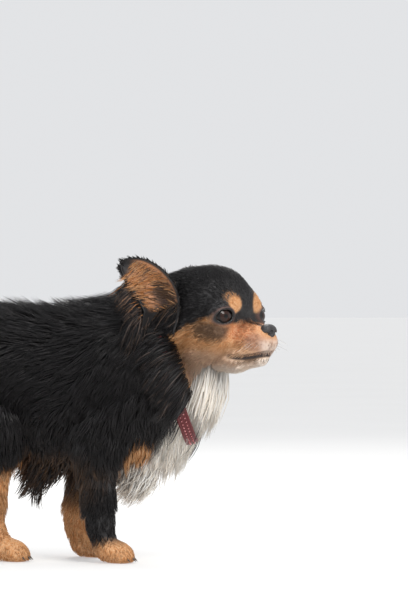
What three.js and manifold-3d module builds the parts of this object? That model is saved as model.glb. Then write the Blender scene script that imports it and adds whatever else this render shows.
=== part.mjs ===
// A long-coated chihuahua, standing in mid step with its head turned to its right.
// Millimetres, +Z up. The body faces +X, its left side is +Y and the floor is Z = 0.
// The flesh is one smooth form, wrapped in facets and parted into nodes by thin flat cuts.

import * as THREE from "three";
import Module from "manifold-3d";
import { mergeVertices } from "three/addons/utils/BufferGeometryUtils.js";

const wasm = await Module();
wasm.setup();

// Driving sizes
const GAP = 0.3; // between nodes that touch
const CORE_SHARE = 0.45; // how far the core under the locks reaches towards the tips
// How finely each form is wrapped: cell, then how far a facet may stand off the surface
const FINE = {
  head: [4.6, 0.45],
  body: [14, 1.8],
  tail: [11, 1.5],
  leg: [[12, 1.6], [7.5, 0.8], [4.2, 0.45]],
};
const NOSE_CELL = 1.95;
const SLIVER = 0.03;
const EYE_R = 9.3;
const LID_R = 11.0;
const EYE_OUT = 23.5; // half the distance between the eyeballs' centres
const HEAD_AT = [107, -18, 195]; // midway between the eyeballs
const HEAD_TURN = -22; // degrees about +Z, to the dog's right
const GAZE = 27; // degrees that each eye looks outwards

// The head's own frame: p forward, q to its left, r up
const turn = THREE.MathUtils.degToRad(HEAD_TURN);
const headMatrix = new THREE.Matrix4().makeRotationZ(turn).setPosition(...HEAD_AT);
const headInverse = headMatrix.clone().invert();
const fromHead = (p) => new THREE.Vector3(...p).applyMatrix4(headMatrix).toArray();
const turnFromHead = (v) => new THREE.Vector3(...v).transformDirection(headMatrix).toArray();

// Fields: negative inside, in millimetres outside
const egg = (c, r) => (x, y, z) => {
  const [dx, dy, dz] = [x - c[0], y - c[1], z - c[2]];
  const k0 = Math.hypot(dx / r[0], dy / r[1], dz / r[2]);
  const k1 = Math.hypot(dx / r[0] ** 2, dy / r[1] ** 2, dz / r[2] ** 2);
  return k1 < 1e-9 ? -Math.min(...r) : (k0 * (k0 - 1)) / k1;
};

const limb = (a, b, ra, rb) => {
  const [ux, uy, uz] = [b[0] - a[0], b[1] - a[1], b[2] - a[2]];
  const uu = ux * ux + uy * uy + uz * uz;
  return (x, y, z) => {
    const [dx, dy, dz] = [x - a[0], y - a[1], z - a[2]];
    const t = Math.min(1, Math.max(0, (dx * ux + dy * uy + dz * uz) / uu));
    return Math.hypot(dx - t * ux, dy - t * uy, dz - t * uz) - (ra + t * (rb - ra));
  };
};

const softMin = (a, b, k) => {
  const h = Math.max(k - Math.abs(a - b), 0) / k;
  return Math.min(a, b) - (h * h * k) / 4;
};

const blend = (k, ...fields) => (x, y, z) => {
  let d = fields[0](x, y, z);
  for (let i = 1; i < fields.length; i++) d = softMin(d, fields[i](x, y, z), k);
  return d;
};

const bothSides = (field) => (x, y, z) => field(x, Math.abs(y), z);
const offset = (field, by) => (x, y, z) => field(x, y, z) - by;

const onHead = (field) => {
  const e = headInverse.elements;
  return (x, y, z) =>
    field(
      e[0] * x + e[4] * y + e[8] * z + e[12],
      e[1] * x + e[5] * y + e[9] * z + e[13],
      e[2] * x + e[6] * y + e[10] * z + e[14],
    );
};

// Head, in its own frame
const skull = bothSides(
  blend(
    9,
    egg([-31, 0, 6.5], [39, 33, 29.5]),
    egg([-15, 0, 12], [22, 25, 23]),
    egg([0, 16, 10], [8, 10, 7]),
    egg([-43, 23, 0], [12, 8, 12]),
    egg([-20, 17, -13], [25, 15, 19]),
    egg([12, 0, -17], [19.5, 13, 11.5]),
    egg([20.5, 5.5, -20.5], [12, 7.5, 8.5]),
  ),
);
const lids = bothSides(egg([0, EYE_OUT, 0], [LID_R, LID_R, LID_R]));
const jaw = blend(
  8,
  limb([-30, 0, -25], [2, 0, -29], 16, 11),
  limb([0, 0, -30], [22.5, 0, -32], 11, 8),
);
const headForm = onHead(blend(5, blend(6, skull, jaw), lids));
const jawForm = onHead(jaw);

// Trunk
const trunk = bothSides(
  blend(
    20,
    egg([-32, 0, 136], [80, 40, 51]),
    egg([12, 0, 148], [36, 38, 40]),
    egg([26, 0, 118], [24, 30, 33]),
    limb([-90, 0, 146], [-148, 0, 148], 40, 35),
    egg([-152, 0, 147], [33, 37, 38]),
  ),
);
const neck = limb([18, 0, 150], fromHead([-44, 0, -4]), 40, 31);

// Legs: each is a chain of joints, with the flesh's radius at each
const LEGS = {
  fore_right: {
    joints: [[30, -26, 128], [-2, -31, 98], [0, -29, 31], [3, -29, 13]],
    radii: [19, 14, 8, 7.5],
    paw: [12, -29, 8.5],
  },
  fore_left: {
    joints: [[24, 26, 128], [-20, 31, 99], [-33, 29, 31], [-31, 29, 13]],
    radii: [19, 14, 8, 7.5],
    paw: [-22, 29, 8.5],
  },
  hind_right: {
    joints: [[-146, -25, 146], [-88, -34, 106], [-92, -30, 40], [-82, -30, 13]],
    radii: [28, 20, 8.5, 7],
    paw: [-73, -30, 8.5],
  },
  hind_left: {
    joints: [[-150, 25, 146], [-120, 34, 104], [-171, 30, 45], [-165, 30, 13]],
    radii: [28, 20, 8.5, 7],
    paw: [-156, 30, 8.5],
  },
};
const PAW_R = [12, 9.5, 8.8];
const TOE_SPREAD = [-7.4, -2.6, 2.6, 7.4];
const TOE_REACH = [5.5, 9, 9, 5.5];

function legForm({ joints, radii }) {
  const bones = joints.slice(1).map((to, i) => limb(joints[i], to, radii[i], radii[i + 1]));
  return blend(8, ...bones);
}
const hamstrings = ["hind_right", "hind_left"].map((name) => {
  const [hip, knee] = LEGS[name].joints;
  return egg([(2 * hip[0] + knee[0]) / 3 - 8, hip[1] * 1.05, 126], [25, 16, 30]);
});

function pawForm([x, y, z]) {
  const toes = TOE_SPREAD.map((side, i) =>
    limb([x - 2, y + side * 0.7, z], [x + TOE_REACH[i], y + side, 5], 5.6, 4.4),
  );
  return blend(3, blend(4, egg([x, y, z], PAW_R)), ...toes);
}

// Tail: an arc that rises from the rump and comes forward over it
const TAIL = [
  [-176, 0, 168],
  [-200, 2, 196],
  [-201, 5, 228],
  [-180, 8, 249],
  [-155, 11, 247],
];
const TAIL_R = [11, 8, 6.5, 5.5, 4];
const tailForm = blend(4, ...TAIL.slice(1).map((to, i) => limb(TAIL[i], to, TAIL_R[i], TAIL_R[i + 1])));

const legForms = Object.values(LEGS).map(legForm);
const pawForms = Object.values(LEGS).map((leg) => pawForm(leg.paw));
const bodyForm = blend(12, blend(18, trunk, neck), ...hamstrings, ...legForms);
const torsoForm = blend(9, blend(18, trunk, neck), ...hamstrings, headForm);
const wholeForm = blend(7, blend(9, bodyForm, headForm), tailForm, ...pawForms);

// The coat: how it lies and how deep it is, at named places; [frame, place, lie, depth]
const COAT = {
  bridge: ["head", [24, 0, -5], [-1, 0, 0.3], 0.8],
  stop: ["head", [8, 0, 2], [-0.5, 0, 0.9], 1.2],
  forehead: ["head", [2, 0, 24], [-0.7, 0, 0.7], 2.5],
  crown: ["head", [-28, 0, 39], [-1, 0, 0.1], 3.5],
  temple: ["head", [-26, 33, 10], [-1, 0.1, -0.2], 3],
  brow: ["head", [9, 18, 15], [-0.5, 0.4, 0.7], 1.6],
  eye_rim: ["head", [8, 30, -2], [-0.8, 0.4, -0.3], 0.8],
  cheek: ["head", [-6, 26, -17], [-1, 0.1, -0.3], 3],
  jowl: ["head", [-34, 27, -22], [-0.8, 0.1, -0.6], 7],
  lip: ["head", [24, 11, -20], [-0.9, 0.2, -0.4], 1],
  muzzle_front: ["head", [34, 0, -22], [0, 0.3, -1], 1],
  chin: ["head", [22, 0, -38], [-0.8, 0, -0.6], 2],
  jaw_under: ["head", [-4, 0, -42], [-0.8, 0, -0.6], 4],
  throat: ["head", [-28, 0, -46], [-0.2, 0, -1], 13],
  nape: ["head", [-68, 0, 10], [-0.9, 0, -0.4], 9],
  neck_top: ["body", [18, 0, 193], [-1, 0, 0], 17],
  neck_side: ["body", [38, 36, 165], [-0.4, 0.1, -1], 19],
  neck_front: ["body", [78, -8, 130], [0, 0, -1], 26],
  chest_front: ["body", [56, 0, 112], [-0.1, 0, -1], 15],
  brisket: ["body", [26, 0, 64], [-0.3, 0, -1], 46],
  withers: ["body", [-8, 0, 190], [-1, 0, 0.1], 17],
  back: ["body", [-70, 0, 188], [-1, 0, 0.05], 17],
  croup: ["body", [-150, 0, 186], [-1, 0, 0], 17],
  shoulder: ["body", [14, 41, 136], [-0.5, 0, -0.9], 15],
  ribs: ["body", [-45, 41, 140], [-0.9, 0.05, -0.4], 15],
  flank: ["body", [-105, 38, 140], [-0.9, 0.05, -0.45], 15],
  belly: ["body", [-55, 0, 62], [-0.4, 0, -0.9], 50],
  groin: ["body", [-115, 0, 92], [-0.5, 0, -0.9], 30],
  thigh: ["body", [-130, 48, 118], [-0.5, 0.05, -0.9], 11],
  buttock: ["body", [-184, 14, 136], [-0.3, 0.1, -1], 22],
};
const LEG_COAT = {
  fore: [[16, 12, 110], [-16, 10, 88], [10, 4, 70], [-12, 9, 58], [8, 2, 34], [-9, 4, 34], [8, 1.5, 10]],
  hind: [[20, 8, 108], [-22, 22, 96], [12, 4, 72], [-14, 12, 60], [8, 2, 32], [-9, 5, 40], [8, 1.5, 10]],
};

const anchors = [];
function anchor(place, lie, depth) {
  anchors.push([...place, ...new THREE.Vector3(...lie).normalize().toArray(), depth]);
}
for (const [frame, place, lie, depth] of Object.values(COAT)) {
  const sides = Math.abs(place[1]) > 6 ? [1, -1] : [1];
  for (const side of sides) {
    const at = [place[0], place[1] * side, place[2]];
    const way = [lie[0], lie[1] * side, lie[2]];
    if (frame === "head") anchor(fromHead(at), turnFromHead(way), depth);
    else anchor(at, way, depth);
  }
}
for (const [name, leg] of Object.entries(LEGS)) {
  for (const [ahead, depth, height] of LEG_COAT[name.slice(0, 4)]) {
    const at = alongLeg(leg.joints, height);
    anchor([at[0] + ahead, at[1], height], [ahead > 0 ? 0.05 : -0.35, 0, -1], depth);
  }
}
TAIL.forEach((at, i) => {
  const ahead = new THREE.Vector3(...(TAIL[i + 1] ?? at)).sub(new THREE.Vector3(...(TAIL[i - 1] ?? TAIL[0])));
  anchor(at, ahead.normalize().toArray(), i ? 16 : 12);
});

// The leg's centre at a height
function alongLeg(joints, height) {
  for (let i = 1; i < joints.length; i++) {
    const [a, b] = [joints[i - 1], joints[i]];
    if (height >= b[2] || i === joints.length - 1) {
      const t = THREE.MathUtils.clamp((a[2] - height) / (a[2] - b[2]), 0, 1);
      return a.map((v, k) => v + t * (b[k] - v));
    }
  }
}

// Weighted by nearness: [lie x, lie y, lie z, depth]
function coatAt(x, y, z) {
  const sum = [0, 0, 0, 0];
  let total = 0;
  for (const a of anchors) {
    const d2 = (x - a[0]) ** 2 + (y - a[1]) ** 2 + (z - a[2]) ** 2 + 30;
    const w = 1 / (d2 * d2);
    total += w;
    for (let k = 0; k < 4; k++) sum[k] += w * a[3 + k];
  }
  return sum.map((v) => v / total);
}
const coatSurface = (share) => (x, y, z) => {
  const d = wholeForm(x, y, z);
  return d > 60 || d < -20 ? d - 10 : d - share * coatAt(x, y, z)[3];
};

function slope(field, x, y, z, h = 0.4) {
  const g = new THREE.Vector3(
    field(x + h, y, z) - field(x - h, y, z),
    field(x, y + h, z) - field(x, y - h, z),
    field(x, y, z + h) - field(x, y, z - h),
  );
  return g.divideScalar(2 * h);
}

// Wraps a field's zero surface in even facets: one vertex in each grid cell that the surface
// crosses, one quad across each grid edge that it crosses, then drawn onto the surface.
function wrap(field, low, high, cell, relax = 2) {
  const n = low.map((v, k) => Math.ceil((high[k] - v) / cell) + 1);
  const at = (i, j, k) => (k * n[1] + j) * n[0] + i;
  const onRim = (...cellAt) => cellAt.some((v, m) => v <= 0 || v >= n[m] - 1);
  const value = new Float32Array(n[0] * n[1] * n[2]);
  for (let k = 0; k < n[2]; k++)
    for (let j = 0; j < n[1]; j++)
      for (let i = 0; i < n[0]; i++) {
        value[at(i, j, k)] = field(low[0] + i * cell, low[1] + j * cell, low[2] + k * cell) || 1e-6;
        if (onRim(i, j, k)) value[at(i, j, k)] = Math.max(value[at(i, j, k)], cell);
      }
  const points = [];
  const held = [];
  const cellPoint = new Map();
  const corners = [0, 1, 2, 3, 4, 5, 6, 7].map((c) => [c & 1, (c >> 1) & 1, (c >> 2) & 1]);
  const edges = [];
  corners.forEach((a, i) =>
    corners.forEach((b, j) => {
      if (j > i && Math.abs(a[0] - b[0]) + Math.abs(a[1] - b[1]) + Math.abs(a[2] - b[2]) === 1) edges.push([a, b]);
    }),
  );
  for (let k = 0; k < n[2] - 1; k++)
    for (let j = 0; j < n[1] - 1; j++)
      for (let i = 0; i < n[0] - 1; i++) {
        const sum = [0, 0, 0];
        let crossings = 0;
        for (const [a, b] of edges) {
          const va = value[at(i + a[0], j + a[1], k + a[2])];
          const vb = value[at(i + b[0], j + b[1], k + b[2])];
          if (va < 0 === vb < 0) continue;
          const t = va / (va - vb);
          for (let m = 0; m < 3; m++) sum[m] += a[m] + t * (b[m] - a[m]);
          crossings++;
        }
        if (!crossings) continue;
        cellPoint.set(at(i, j, k), points.length);
        held.push(onRim(i, j, k) || onRim(i + 1, j + 1, k + 1));
        points.push([i, j, k].map((v, m) => low[m] + (v + sum[m] / crossings) * cell));
      }
  const quads = [];
  for (let k = 0; k < n[2] - 1; k++)
    for (let j = 0; j < n[1] - 1; j++)
      for (let i = 0; i < n[0] - 1; i++) {
        const inside = value[at(i, j, k)] < 0;
        const around = [
          [[1, 0, 0], [0, -1, -1], [0, 0, -1], [0, 0, 0], [0, -1, 0]],
          [[0, 1, 0], [-1, 0, -1], [-1, 0, 0], [0, 0, 0], [0, 0, -1]],
          [[0, 0, 1], [-1, -1, 0], [0, -1, 0], [0, 0, 0], [-1, 0, 0]],
        ];
        for (const [step, ...cells] of around) {
          if (inside === value[at(i + step[0], j + step[1], k + step[2])] < 0) continue;
          const q = cells.map((c) => cellPoint.get(at(i + c[0], j + c[1], k + c[2])));
          quads.push(inside ? q : q.reverse());
        }
      }
  for (let round = 0; round <= relax; round++) {
    if (round) {
      const sums = points.map(() => [0, 0, 0, 0]);
      for (const q of quads)
        q.forEach((v, m) => {
          const next = points[q[(m + 1) % 4]];
          for (let c = 0; c < 3; c++) sums[v][c] += next[c];
          sums[v][3]++;
        });
      points.forEach((p, v) => {
        if (held[v]) return;
        for (let c = 0; c < 3; c++) p[c] += 0.5 * (sums[v][c] / sums[v][3] - p[c]);
      });
    }
    for (const [v, p] of points.entries()) {
      if (held[v]) continue;
      const g = slope(field, ...p);
      const move = THREE.MathUtils.clamp(-field(...p) / Math.max(g.lengthSq(), 0.25), -cell / 2, cell / 2);
      p[0] += move * g.x;
      p[1] += move * g.y;
      p[2] += move * g.z;
    }
  }
  const far = (a, b) => (points[a][0] - points[b][0]) ** 2 + (points[a][1] - points[b][1]) ** 2 + (points[a][2] - points[b][2]) ** 2;
  const faces = [];
  for (const [a, b, c, d] of quads) {
    if (far(a, c) < far(b, d)) faces.push(a, b, c, a, c, d);
    else faces.push(a, b, d, b, c, d);
  }
  return { points, faces };
}

// Drops vertices that a surface doesn't need: each moves onto the neighbour that lies nearest
// to the planes of its faces, if that is nearer than slack and no face turns over.
function thin(points, faces, slack) {
  const around = points.map(() => new Set());
  for (let f = 0; f < faces.length; f += 3) for (let k = 0; k < 3; k++) around[faces[f + k]].add(f);
  const corner = (f, k) => points[faces[f + k]];
  const neighbours = (v) => {
    const found = new Set();
    for (const f of around[v]) for (let k = 0; k < 3; k++) found.add(faces[f + k]);
    found.delete(v);
    return found;
  };
  const normalOf = (a, b, c) => {
    const u = [b[0] - a[0], b[1] - a[1], b[2] - a[2]];
    const w = [c[0] - a[0], c[1] - a[1], c[2] - a[2]];
    const n = [u[1] * w[2] - u[2] * w[1], u[2] * w[0] - u[0] * w[2], u[0] * w[1] - u[1] * w[0]];
    const size = Math.hypot(...n);
    return size < 1e-4 ? null : n.map((x) => x / size);
  };
  const cost = (v, u) => {
    let worst = 0;
    const step = points[u].map((x, k) => x - points[v][k]);
    for (const f of around[v]) {
      const normal = normalOf(corner(f, 0), corner(f, 1), corner(f, 2));
      if (normal) worst = Math.max(worst, Math.abs(step[0] * normal[0] + step[1] * normal[1] + step[2] * normal[2]));
      if ([0, 1, 2].some((k) => faces[f + k] === u)) continue;
      const moved = [0, 1, 2].map((k) => (faces[f + k] === v ? points[u] : corner(f, k)));
      const after = normalOf(...moved);
      if (!after) return Infinity;
      if (normal && after[0] * normal[0] + after[1] * normal[1] + after[2] * normal[2] < 0.6) return Infinity;
      const long = Math.max(...[0, 1, 2].map((k) => Math.hypot(...moved[k].map((x, m) => x - moved[(k + 1) % 3][m]))));
      const short = Math.min(...[0, 1, 2].map((k) => Math.hypot(...moved[k].map((x, m) => x - moved[(k + 1) % 3][m]))));
      if (long > 12 * short && slack > 0.05) return Infinity;
    }
    return worst;
  };
  for (const limit of [slack / 8, slack / 3, slack, slack]) {
    for (let v = 0; v < points.length; v++) {
      if (!around[v].size) continue;
      const near = neighbours(v);
      let best = limit;
      let target = -1;
      for (const u of near) {
        const c = cost(v, u);
        if (c >= best) continue;
        let shared = 0;
        for (const w of neighbours(u)) if (near.has(w)) shared++;
        if (shared !== 2) continue;
        best = c;
        target = u;
      }
      if (target < 0) continue;
      for (const f of around[v]) {
        const gone = [0, 1, 2].some((k) => faces[f + k] === target);
        if (gone) for (let k = 0; k < 3; k++) if (faces[f + k] !== v) around[faces[f + k]].delete(f);
        if (gone) faces[f] = faces[f + 1] = faces[f + 2] = -1;
        else {
          for (let k = 0; k < 3; k++) if (faces[f + k] === v) faces[f + k] = target;
          around[target].add(f);
        }
      }
      around[v].clear();
    }
  }
  const index = new Map();
  const kept = [];
  const out = [];
  for (let f = 0; f < faces.length; f += 3) {
    if (faces[f] < 0) continue;
    for (let k = 0; k < 3; k++) {
      const v = faces[f + k];
      if (!index.has(v)) {
        index.set(v, kept.length);
        kept.push(points[v]);
      }
      out.push(index.get(v));
    }
  }
  return { points: kept, faces: out };
}

// Solids
function solidFrom(points, faces) {
  return new wasm.Manifold(
    new wasm.Mesh({ numProp: 3, vertProperties: new Float32Array(points.flat()), triVerts: new Uint32Array(faces) }),
  );
}

function solidOf(geometry, matrix) {
  const bare = geometry.clone();
  bare.deleteAttribute("normal");
  bare.deleteAttribute("uv");
  if (matrix) bare.applyMatrix4(matrix);
  const merged = mergeVertices(bare.index ? bare.toNonIndexed() : bare, 1e-4);
  return new wasm.Manifold(
    new wasm.Mesh({
      numProp: 3,
      vertProperties: new Float32Array(merged.attributes.position.array),
      triVerts: new Uint32Array(merged.index.array),
    }),
  );
}

const box = (low, high) => {
  const size = high.map((v, k) => v - low[k]);
  const centre = high.map((v, k) => (v + low[k]) / 2);
  return solidOf(new THREE.BoxGeometry(...size).translate(...centre));
};

const join = (solids) => wasm.Manifold.union(solids);

// A node keeps only its largest closed surface, without the slivers that cuts leave
function largest(solid) {
  const bodies = solid.decompose();
  return bodies.reduce((a, b) => (b.volume() > a.volume() ? b : a));
}

// Where a surface touches itself at a point, its two sheets are drawn a hair apart
function partTouching(points, faces) {
  const places = new Map();
  points.forEach((p, v) => {
    const key = p.map((x) => Math.round(x * 200)).join();
    places.set(key, [...(places.get(key) ?? []), v]);
  });
  for (const same of places.values()) {
    if (same.length < 2) continue;
    for (const v of same) {
      const sum = [0, 0, 0, 0];
      for (let f = 0; f < faces.length; f += 3) {
        if (![0, 1, 2].some((k) => faces[f + k] === v)) continue;
        for (let k = 0; k < 3; k++) {
          for (let c = 0; c < 3; c++) sum[c] += points[faces[f + k]][c];
          sum[3]++;
        }
      }
      points[v] = points[v].map((x, c) => x + 0.06 * (sum[c] / sum[3] - x));
    }
  }
}

function cleaned(solid) {
  const mesh = solid.getMesh();
  const points = [];
  for (let i = 0; i < mesh.vertProperties.length; i += 3) points.push([...mesh.vertProperties.slice(i, i + 3)]);
  const slim = thin(points, [...mesh.triVerts], SLIVER);
  partTouching(slim.points, slim.faces);
  return solidFrom(slim.points, slim.faces);
}

function geometryOf(solid) {
  const mesh = solid.getMesh();
  const geometry = new THREE.BufferGeometry();
  geometry.setAttribute("position", new THREE.BufferAttribute(mesh.vertProperties, 3));
  geometry.setIndex(new THREE.BufferAttribute(mesh.triVerts, 1));
  return geometry;
}

const FAR = 400;
const half = GAP / 2;

// Where the flesh is parted: flat cuts, each with the side that its node lies on
const HEAD_CUT = { point: fromHead([-62, 0, -10]), normal: turnFromHead([0.6, 0, 0.8]) };
const NECK_CUT = { point: [28, 0, 165], normal: [0.66, 0, 0.75] };
const TAIL_CUT = { point: [-176, 0, 168], normal: [-0.65, 0, 0.76] };
const TAIL_MIDDLE = { point: TAIL[2], normal: [0.35, 0, 1] };
const CHEST_BACK = -45;
const LOIN_BACK = -112;
const FORE_TIERS = [112, 60, 22];
const HIND_TIERS = [134, 70, 28];
const LEG_INSIDE = 13;
const TAIL_FRONT = -163;
const TAIL_LOW = 216;

function beyond({ point, normal }, gap) {
  const n = new THREE.Vector3(...normal).normalize();
  const spin = new THREE.Quaternion().setFromUnitVectors(new THREE.Vector3(0, 0, 1), n);
  const centre = new THREE.Vector3(...point).addScaledVector(n, FAR / 2 + gap);
  const place = new THREE.Matrix4().compose(centre, spin, new THREE.Vector3(1, 1, 1));
  return solidOf(new THREE.BoxGeometry(2 * FAR, 2 * FAR, FAR), place);
}

// One leg's three boxes: upper, lower and paw
function legTiers(name) {
  const { joints, paw } = LEGS[name];
  const fore = name.startsWith("fore");
  const [top, bend, ankle] = joints;
  const back = fore ? Math.min(bend[0], ankle[0]) - 26 : Math.min(top[0] - 25, ankle[0] - 40);
  const front = fore ? top[0] + 8 : Math.max(bend[0], paw[0]) + 30;
  const tiers = fore ? FORE_TIERS : HIND_TIERS;
  return tiers.map((roof, i) => {
    const inside = name.endsWith("right") ? -95 : LEG_INSIDE;
    const outside = name.endsWith("right") ? -LEG_INSIDE : 95;
    return { low: [back, inside, tiers[i + 1] ?? -10], high: [front, outside, roof] };
  });
}
const legBoxes = Object.keys(LEGS).flatMap((name) => legTiers(name));

function boxOf({ low, high }, grow) {
  return box(low.map((v) => v - grow), high.map((v) => v + grow));
}

// Every piece of the dog
const materials = {
  black: new THREE.MeshStandardMaterial({ color: 0x14120f, roughness: 0.6, metalness: 0 }),
  tan: new THREE.MeshStandardMaterial({ color: 0xb9702f, roughness: 0.7, metalness: 0 }),
  eye: new THREE.MeshStandardMaterial({ color: 0x1c0d06, roughness: 0.05, metalness: 0 }),
  nose: new THREE.MeshStandardMaterial({ color: 0x1b1a1b, roughness: 0.45, metalness: 0 }),
  collar: new THREE.MeshStandardMaterial({ color: 0x8c1018, roughness: 0.6, metalness: 0 }),
};

const dog = new THREE.Group();
const made = {};
const look = {};
function node(name, solid, material) {
  made[name] = largest(solid);
  look[name] = material;
}

function show(name) {
  const mesh = new THREE.Mesh(geometryOf(made[name]), materials[look[name]]);
  mesh.name = name;
  dog.add(mesh);
}

// Eyes
const eyeAt = [1, -1].map((side) => fromHead([0, EYE_OUT * side, 0]));
function eyeSolids(radius, detail) {
  return eyeAt.map((at) => solidOf(new THREE.IcosahedronGeometry(radius, detail).translate(...at)));
}

// The opening between the lids: an almond that widens outwards along the gaze
const LID_HALF_WIDTH = 7.5;
const LID_HALF_HEIGHT = 5.5;
function lidOpening(side) {
  const almond = new THREE.Shape();
  almond.moveTo(-LID_HALF_WIDTH, 0);
  almond.quadraticCurveTo(0, 2 * LID_HALF_HEIGHT, LID_HALF_WIDTH, 0);
  almond.quadraticCurveTo(0, -1.8 * LID_HALF_HEIGHT, -LID_HALF_WIDTH, 0);
  const prism = new THREE.ExtrudeGeometry(almond, { depth: 22, bevelEnabled: false, curveSegments: 7 });
  const gaze = THREE.MathUtils.degToRad(GAZE) * side;
  const out = new THREE.Vector3(Math.cos(gaze), Math.sin(gaze), -0.02);
  const across = new THREE.Vector3(-Math.sin(gaze), Math.cos(gaze), 0.12 * side);
  const up = new THREE.Vector3().crossVectors(out, across).normalize();
  across.crossVectors(up, out).normalize();
  const frame = new THREE.Matrix4().makeBasis(across, up, out.normalize());
  if (frame.determinant() < 0) throw new Error("the lid frame is mirrored");
  return solidOf(prism, headMatrix.clone().multiply(new THREE.Matrix4().setPosition(0, EYE_OUT * side, 0)).multiply(frame));
}

// Nose leather
const NOSE_AT = [29.5, 0, -11.5];
const noseShape = bothSides(
  blend(3, egg([0, 0, 1.5], [5.5, 6.2, 4.2]), egg([0.5, 3.6, -0.2], [4.6, 3.8, 3.8]), egg([2, 0, -2.2], [3.2, 2.8, 3])),
);
const nostril = bothSides(limb([5.2, 2.8, -0.6], [1, 7.6, -2.4], 1.5, 0.8));
const noseForm = (x, y, z) => {
  const [a, b, c] = [x - NOSE_AT[0], y - NOSE_AT[1], z - NOSE_AT[2]];
  return Math.max(noseShape(a, b, c), -nostril(a, b, c));
};
const nosePlain = (x, y, z) => noseShape(x - NOSE_AT[0], y - NOSE_AT[1], z - NOSE_AT[2]);
function noseSolid(field, cell) {
  const low = NOSE_AT.map((v, k) => v - [9, 11, 10][k]);
  const high = NOSE_AT.map((v, k) => v + [10, 11, 10][k]);
  const { points, faces } = wrap(field, low, high, cell, 1);
  return solidFrom(points.map((p) => fromHead(p)), faces);
}

// Mouth: the lower jaw is everything below the lip line, from its corner forward
function jawBlock(grow) {
  const side = new THREE.Shape();
  side.moveTo(1 - grow, -31.5 + grow);
  side.lineTo(12, -29.6 + grow);
  side.lineTo(26, -28.6 + grow);
  side.lineTo(44, -27.5 + grow);
  side.lineTo(44, -60);
  side.lineTo(-12 - grow, -60);
  side.lineTo(-6 - grow, -36 + grow);
  side.closePath();
  const prism = new THREE.ExtrudeGeometry(side, { depth: 80, bevelEnabled: false });
  const upright = new THREE.Matrix4().makeRotationX(Math.PI / 2).setPosition(0, 40, 0);
  return solidOf(prism, headMatrix.clone().multiply(upright));
}

// Ears: a cupped leaf on a bent spine, [base, bend, tip] in the head's frame, and the way it opens
const EARS = {
  ear_right: { spine: [[-47, -40, -10], [-35, -43, 27], [-71, -59, 41]], opens: [0.55, -0.82, -0.05] },
  ear_left: { spine: [[-46, 40, -10], [-50, 41, 20], [-86, 47, 34]], opens: [0.3, 0.95, -0.05] },
};
const EAR_HALF_WIDTH = 19.5;
const EAR_THICK = 1.5;
const EAR_STEPS = 9;

function earSurface({ spine, opens }, u, v) {
  const curve = new THREE.QuadraticBezierCurve3(...spine.map((p) => new THREE.Vector3(...p)));
  const at = curve.getPoint(v);
  const along = curve.getTangent(v);
  const side = new THREE.Vector3().crossVectors(along, new THREE.Vector3(...opens)).normalize();
  const front = new THREE.Vector3().crossVectors(side, along).normalize();
  const width = EAR_HALF_WIDTH * (0.72 + 0.55 * v) * (1 - v ** 2.4) ** 0.62 + 0.6;
  const cup = 3 + 12 * (1 - v) ** 0.8;
  return at.addScaledVector(side, u * width * (1 - 0.12 * u * u)).addScaledVector(front, cup * (u * u - 1) + 6 * (1 - v));
}

function earSolid(ear) {
  const n = EAR_STEPS;
  const points = [];
  for (const inner of [0, 1])
    for (let j = 0; j <= n; j++)
      for (let i = 0; i <= n; i++) {
        const [u, v] = [(2 * i) / n - 1, j / n];
        const p = earSurface(ear, u, v);
        if (inner) {
          const du = earSurface(ear, u + 0.02, v).sub(earSurface(ear, u - 0.02, v));
          const dv = earSurface(ear, u, Math.min(v + 0.02, 0.999)).sub(earSurface(ear, u, Math.max(v - 0.02, 0)));
          const normal = du.cross(dv).normalize();
          if (normal.dot(new THREE.Vector3(...ear.opens)) < 0) normal.negate();
          p.addScaledVector(normal, EAR_THICK * (1.1 - 0.45 * Math.max(Math.abs(u), v)));
        }
        points.push(fromHead(p.toArray()));
      }
  const at = (inner, i, j) => inner * (n + 1) ** 2 + j * (n + 1) + i;
  const faces = [];
  const quad = (a, b, c, d) => faces.push(a, b, c, a, c, d);
  for (let j = 0; j < n; j++)
    for (let i = 0; i < n; i++) {
      const back = [at(0, i, j), at(0, i, j + 1), at(0, i + 1, j + 1), at(0, i + 1, j)];
      const face = [at(1, i, j), at(1, i + 1, j), at(1, i + 1, j + 1), at(1, i, j + 1)];
      // split alike on both faces
      faces.push(back[0], back[1], back[2], back[0], back[2], back[3]);
      faces.push(face[0], face[1], face[2], face[0], face[2], face[3]);
    }
  for (let i = 0; i < n; i++) {
    quad(at(0, i, 0), at(0, i + 1, 0), at(1, i + 1, 0), at(1, i, 0));
    quad(at(0, i + 1, n), at(0, i, n), at(1, i, n), at(1, i + 1, n));
    quad(at(0, 0, i + 1), at(0, 0, i), at(1, 0, i), at(1, 0, i + 1));
    quad(at(0, n, i), at(0, n, i + 1), at(1, n, i + 1), at(1, n, i));
  }
  let solid = solidFrom(points, faces);
  if (solid.volume() < 0) {
    for (let i = 0; i < faces.length; i += 3) [faces[i + 1], faces[i + 2]] = [faces[i + 2], faces[i + 1]];
    solid = solidFrom(points, faces);
  }
  return solid;
}

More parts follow.
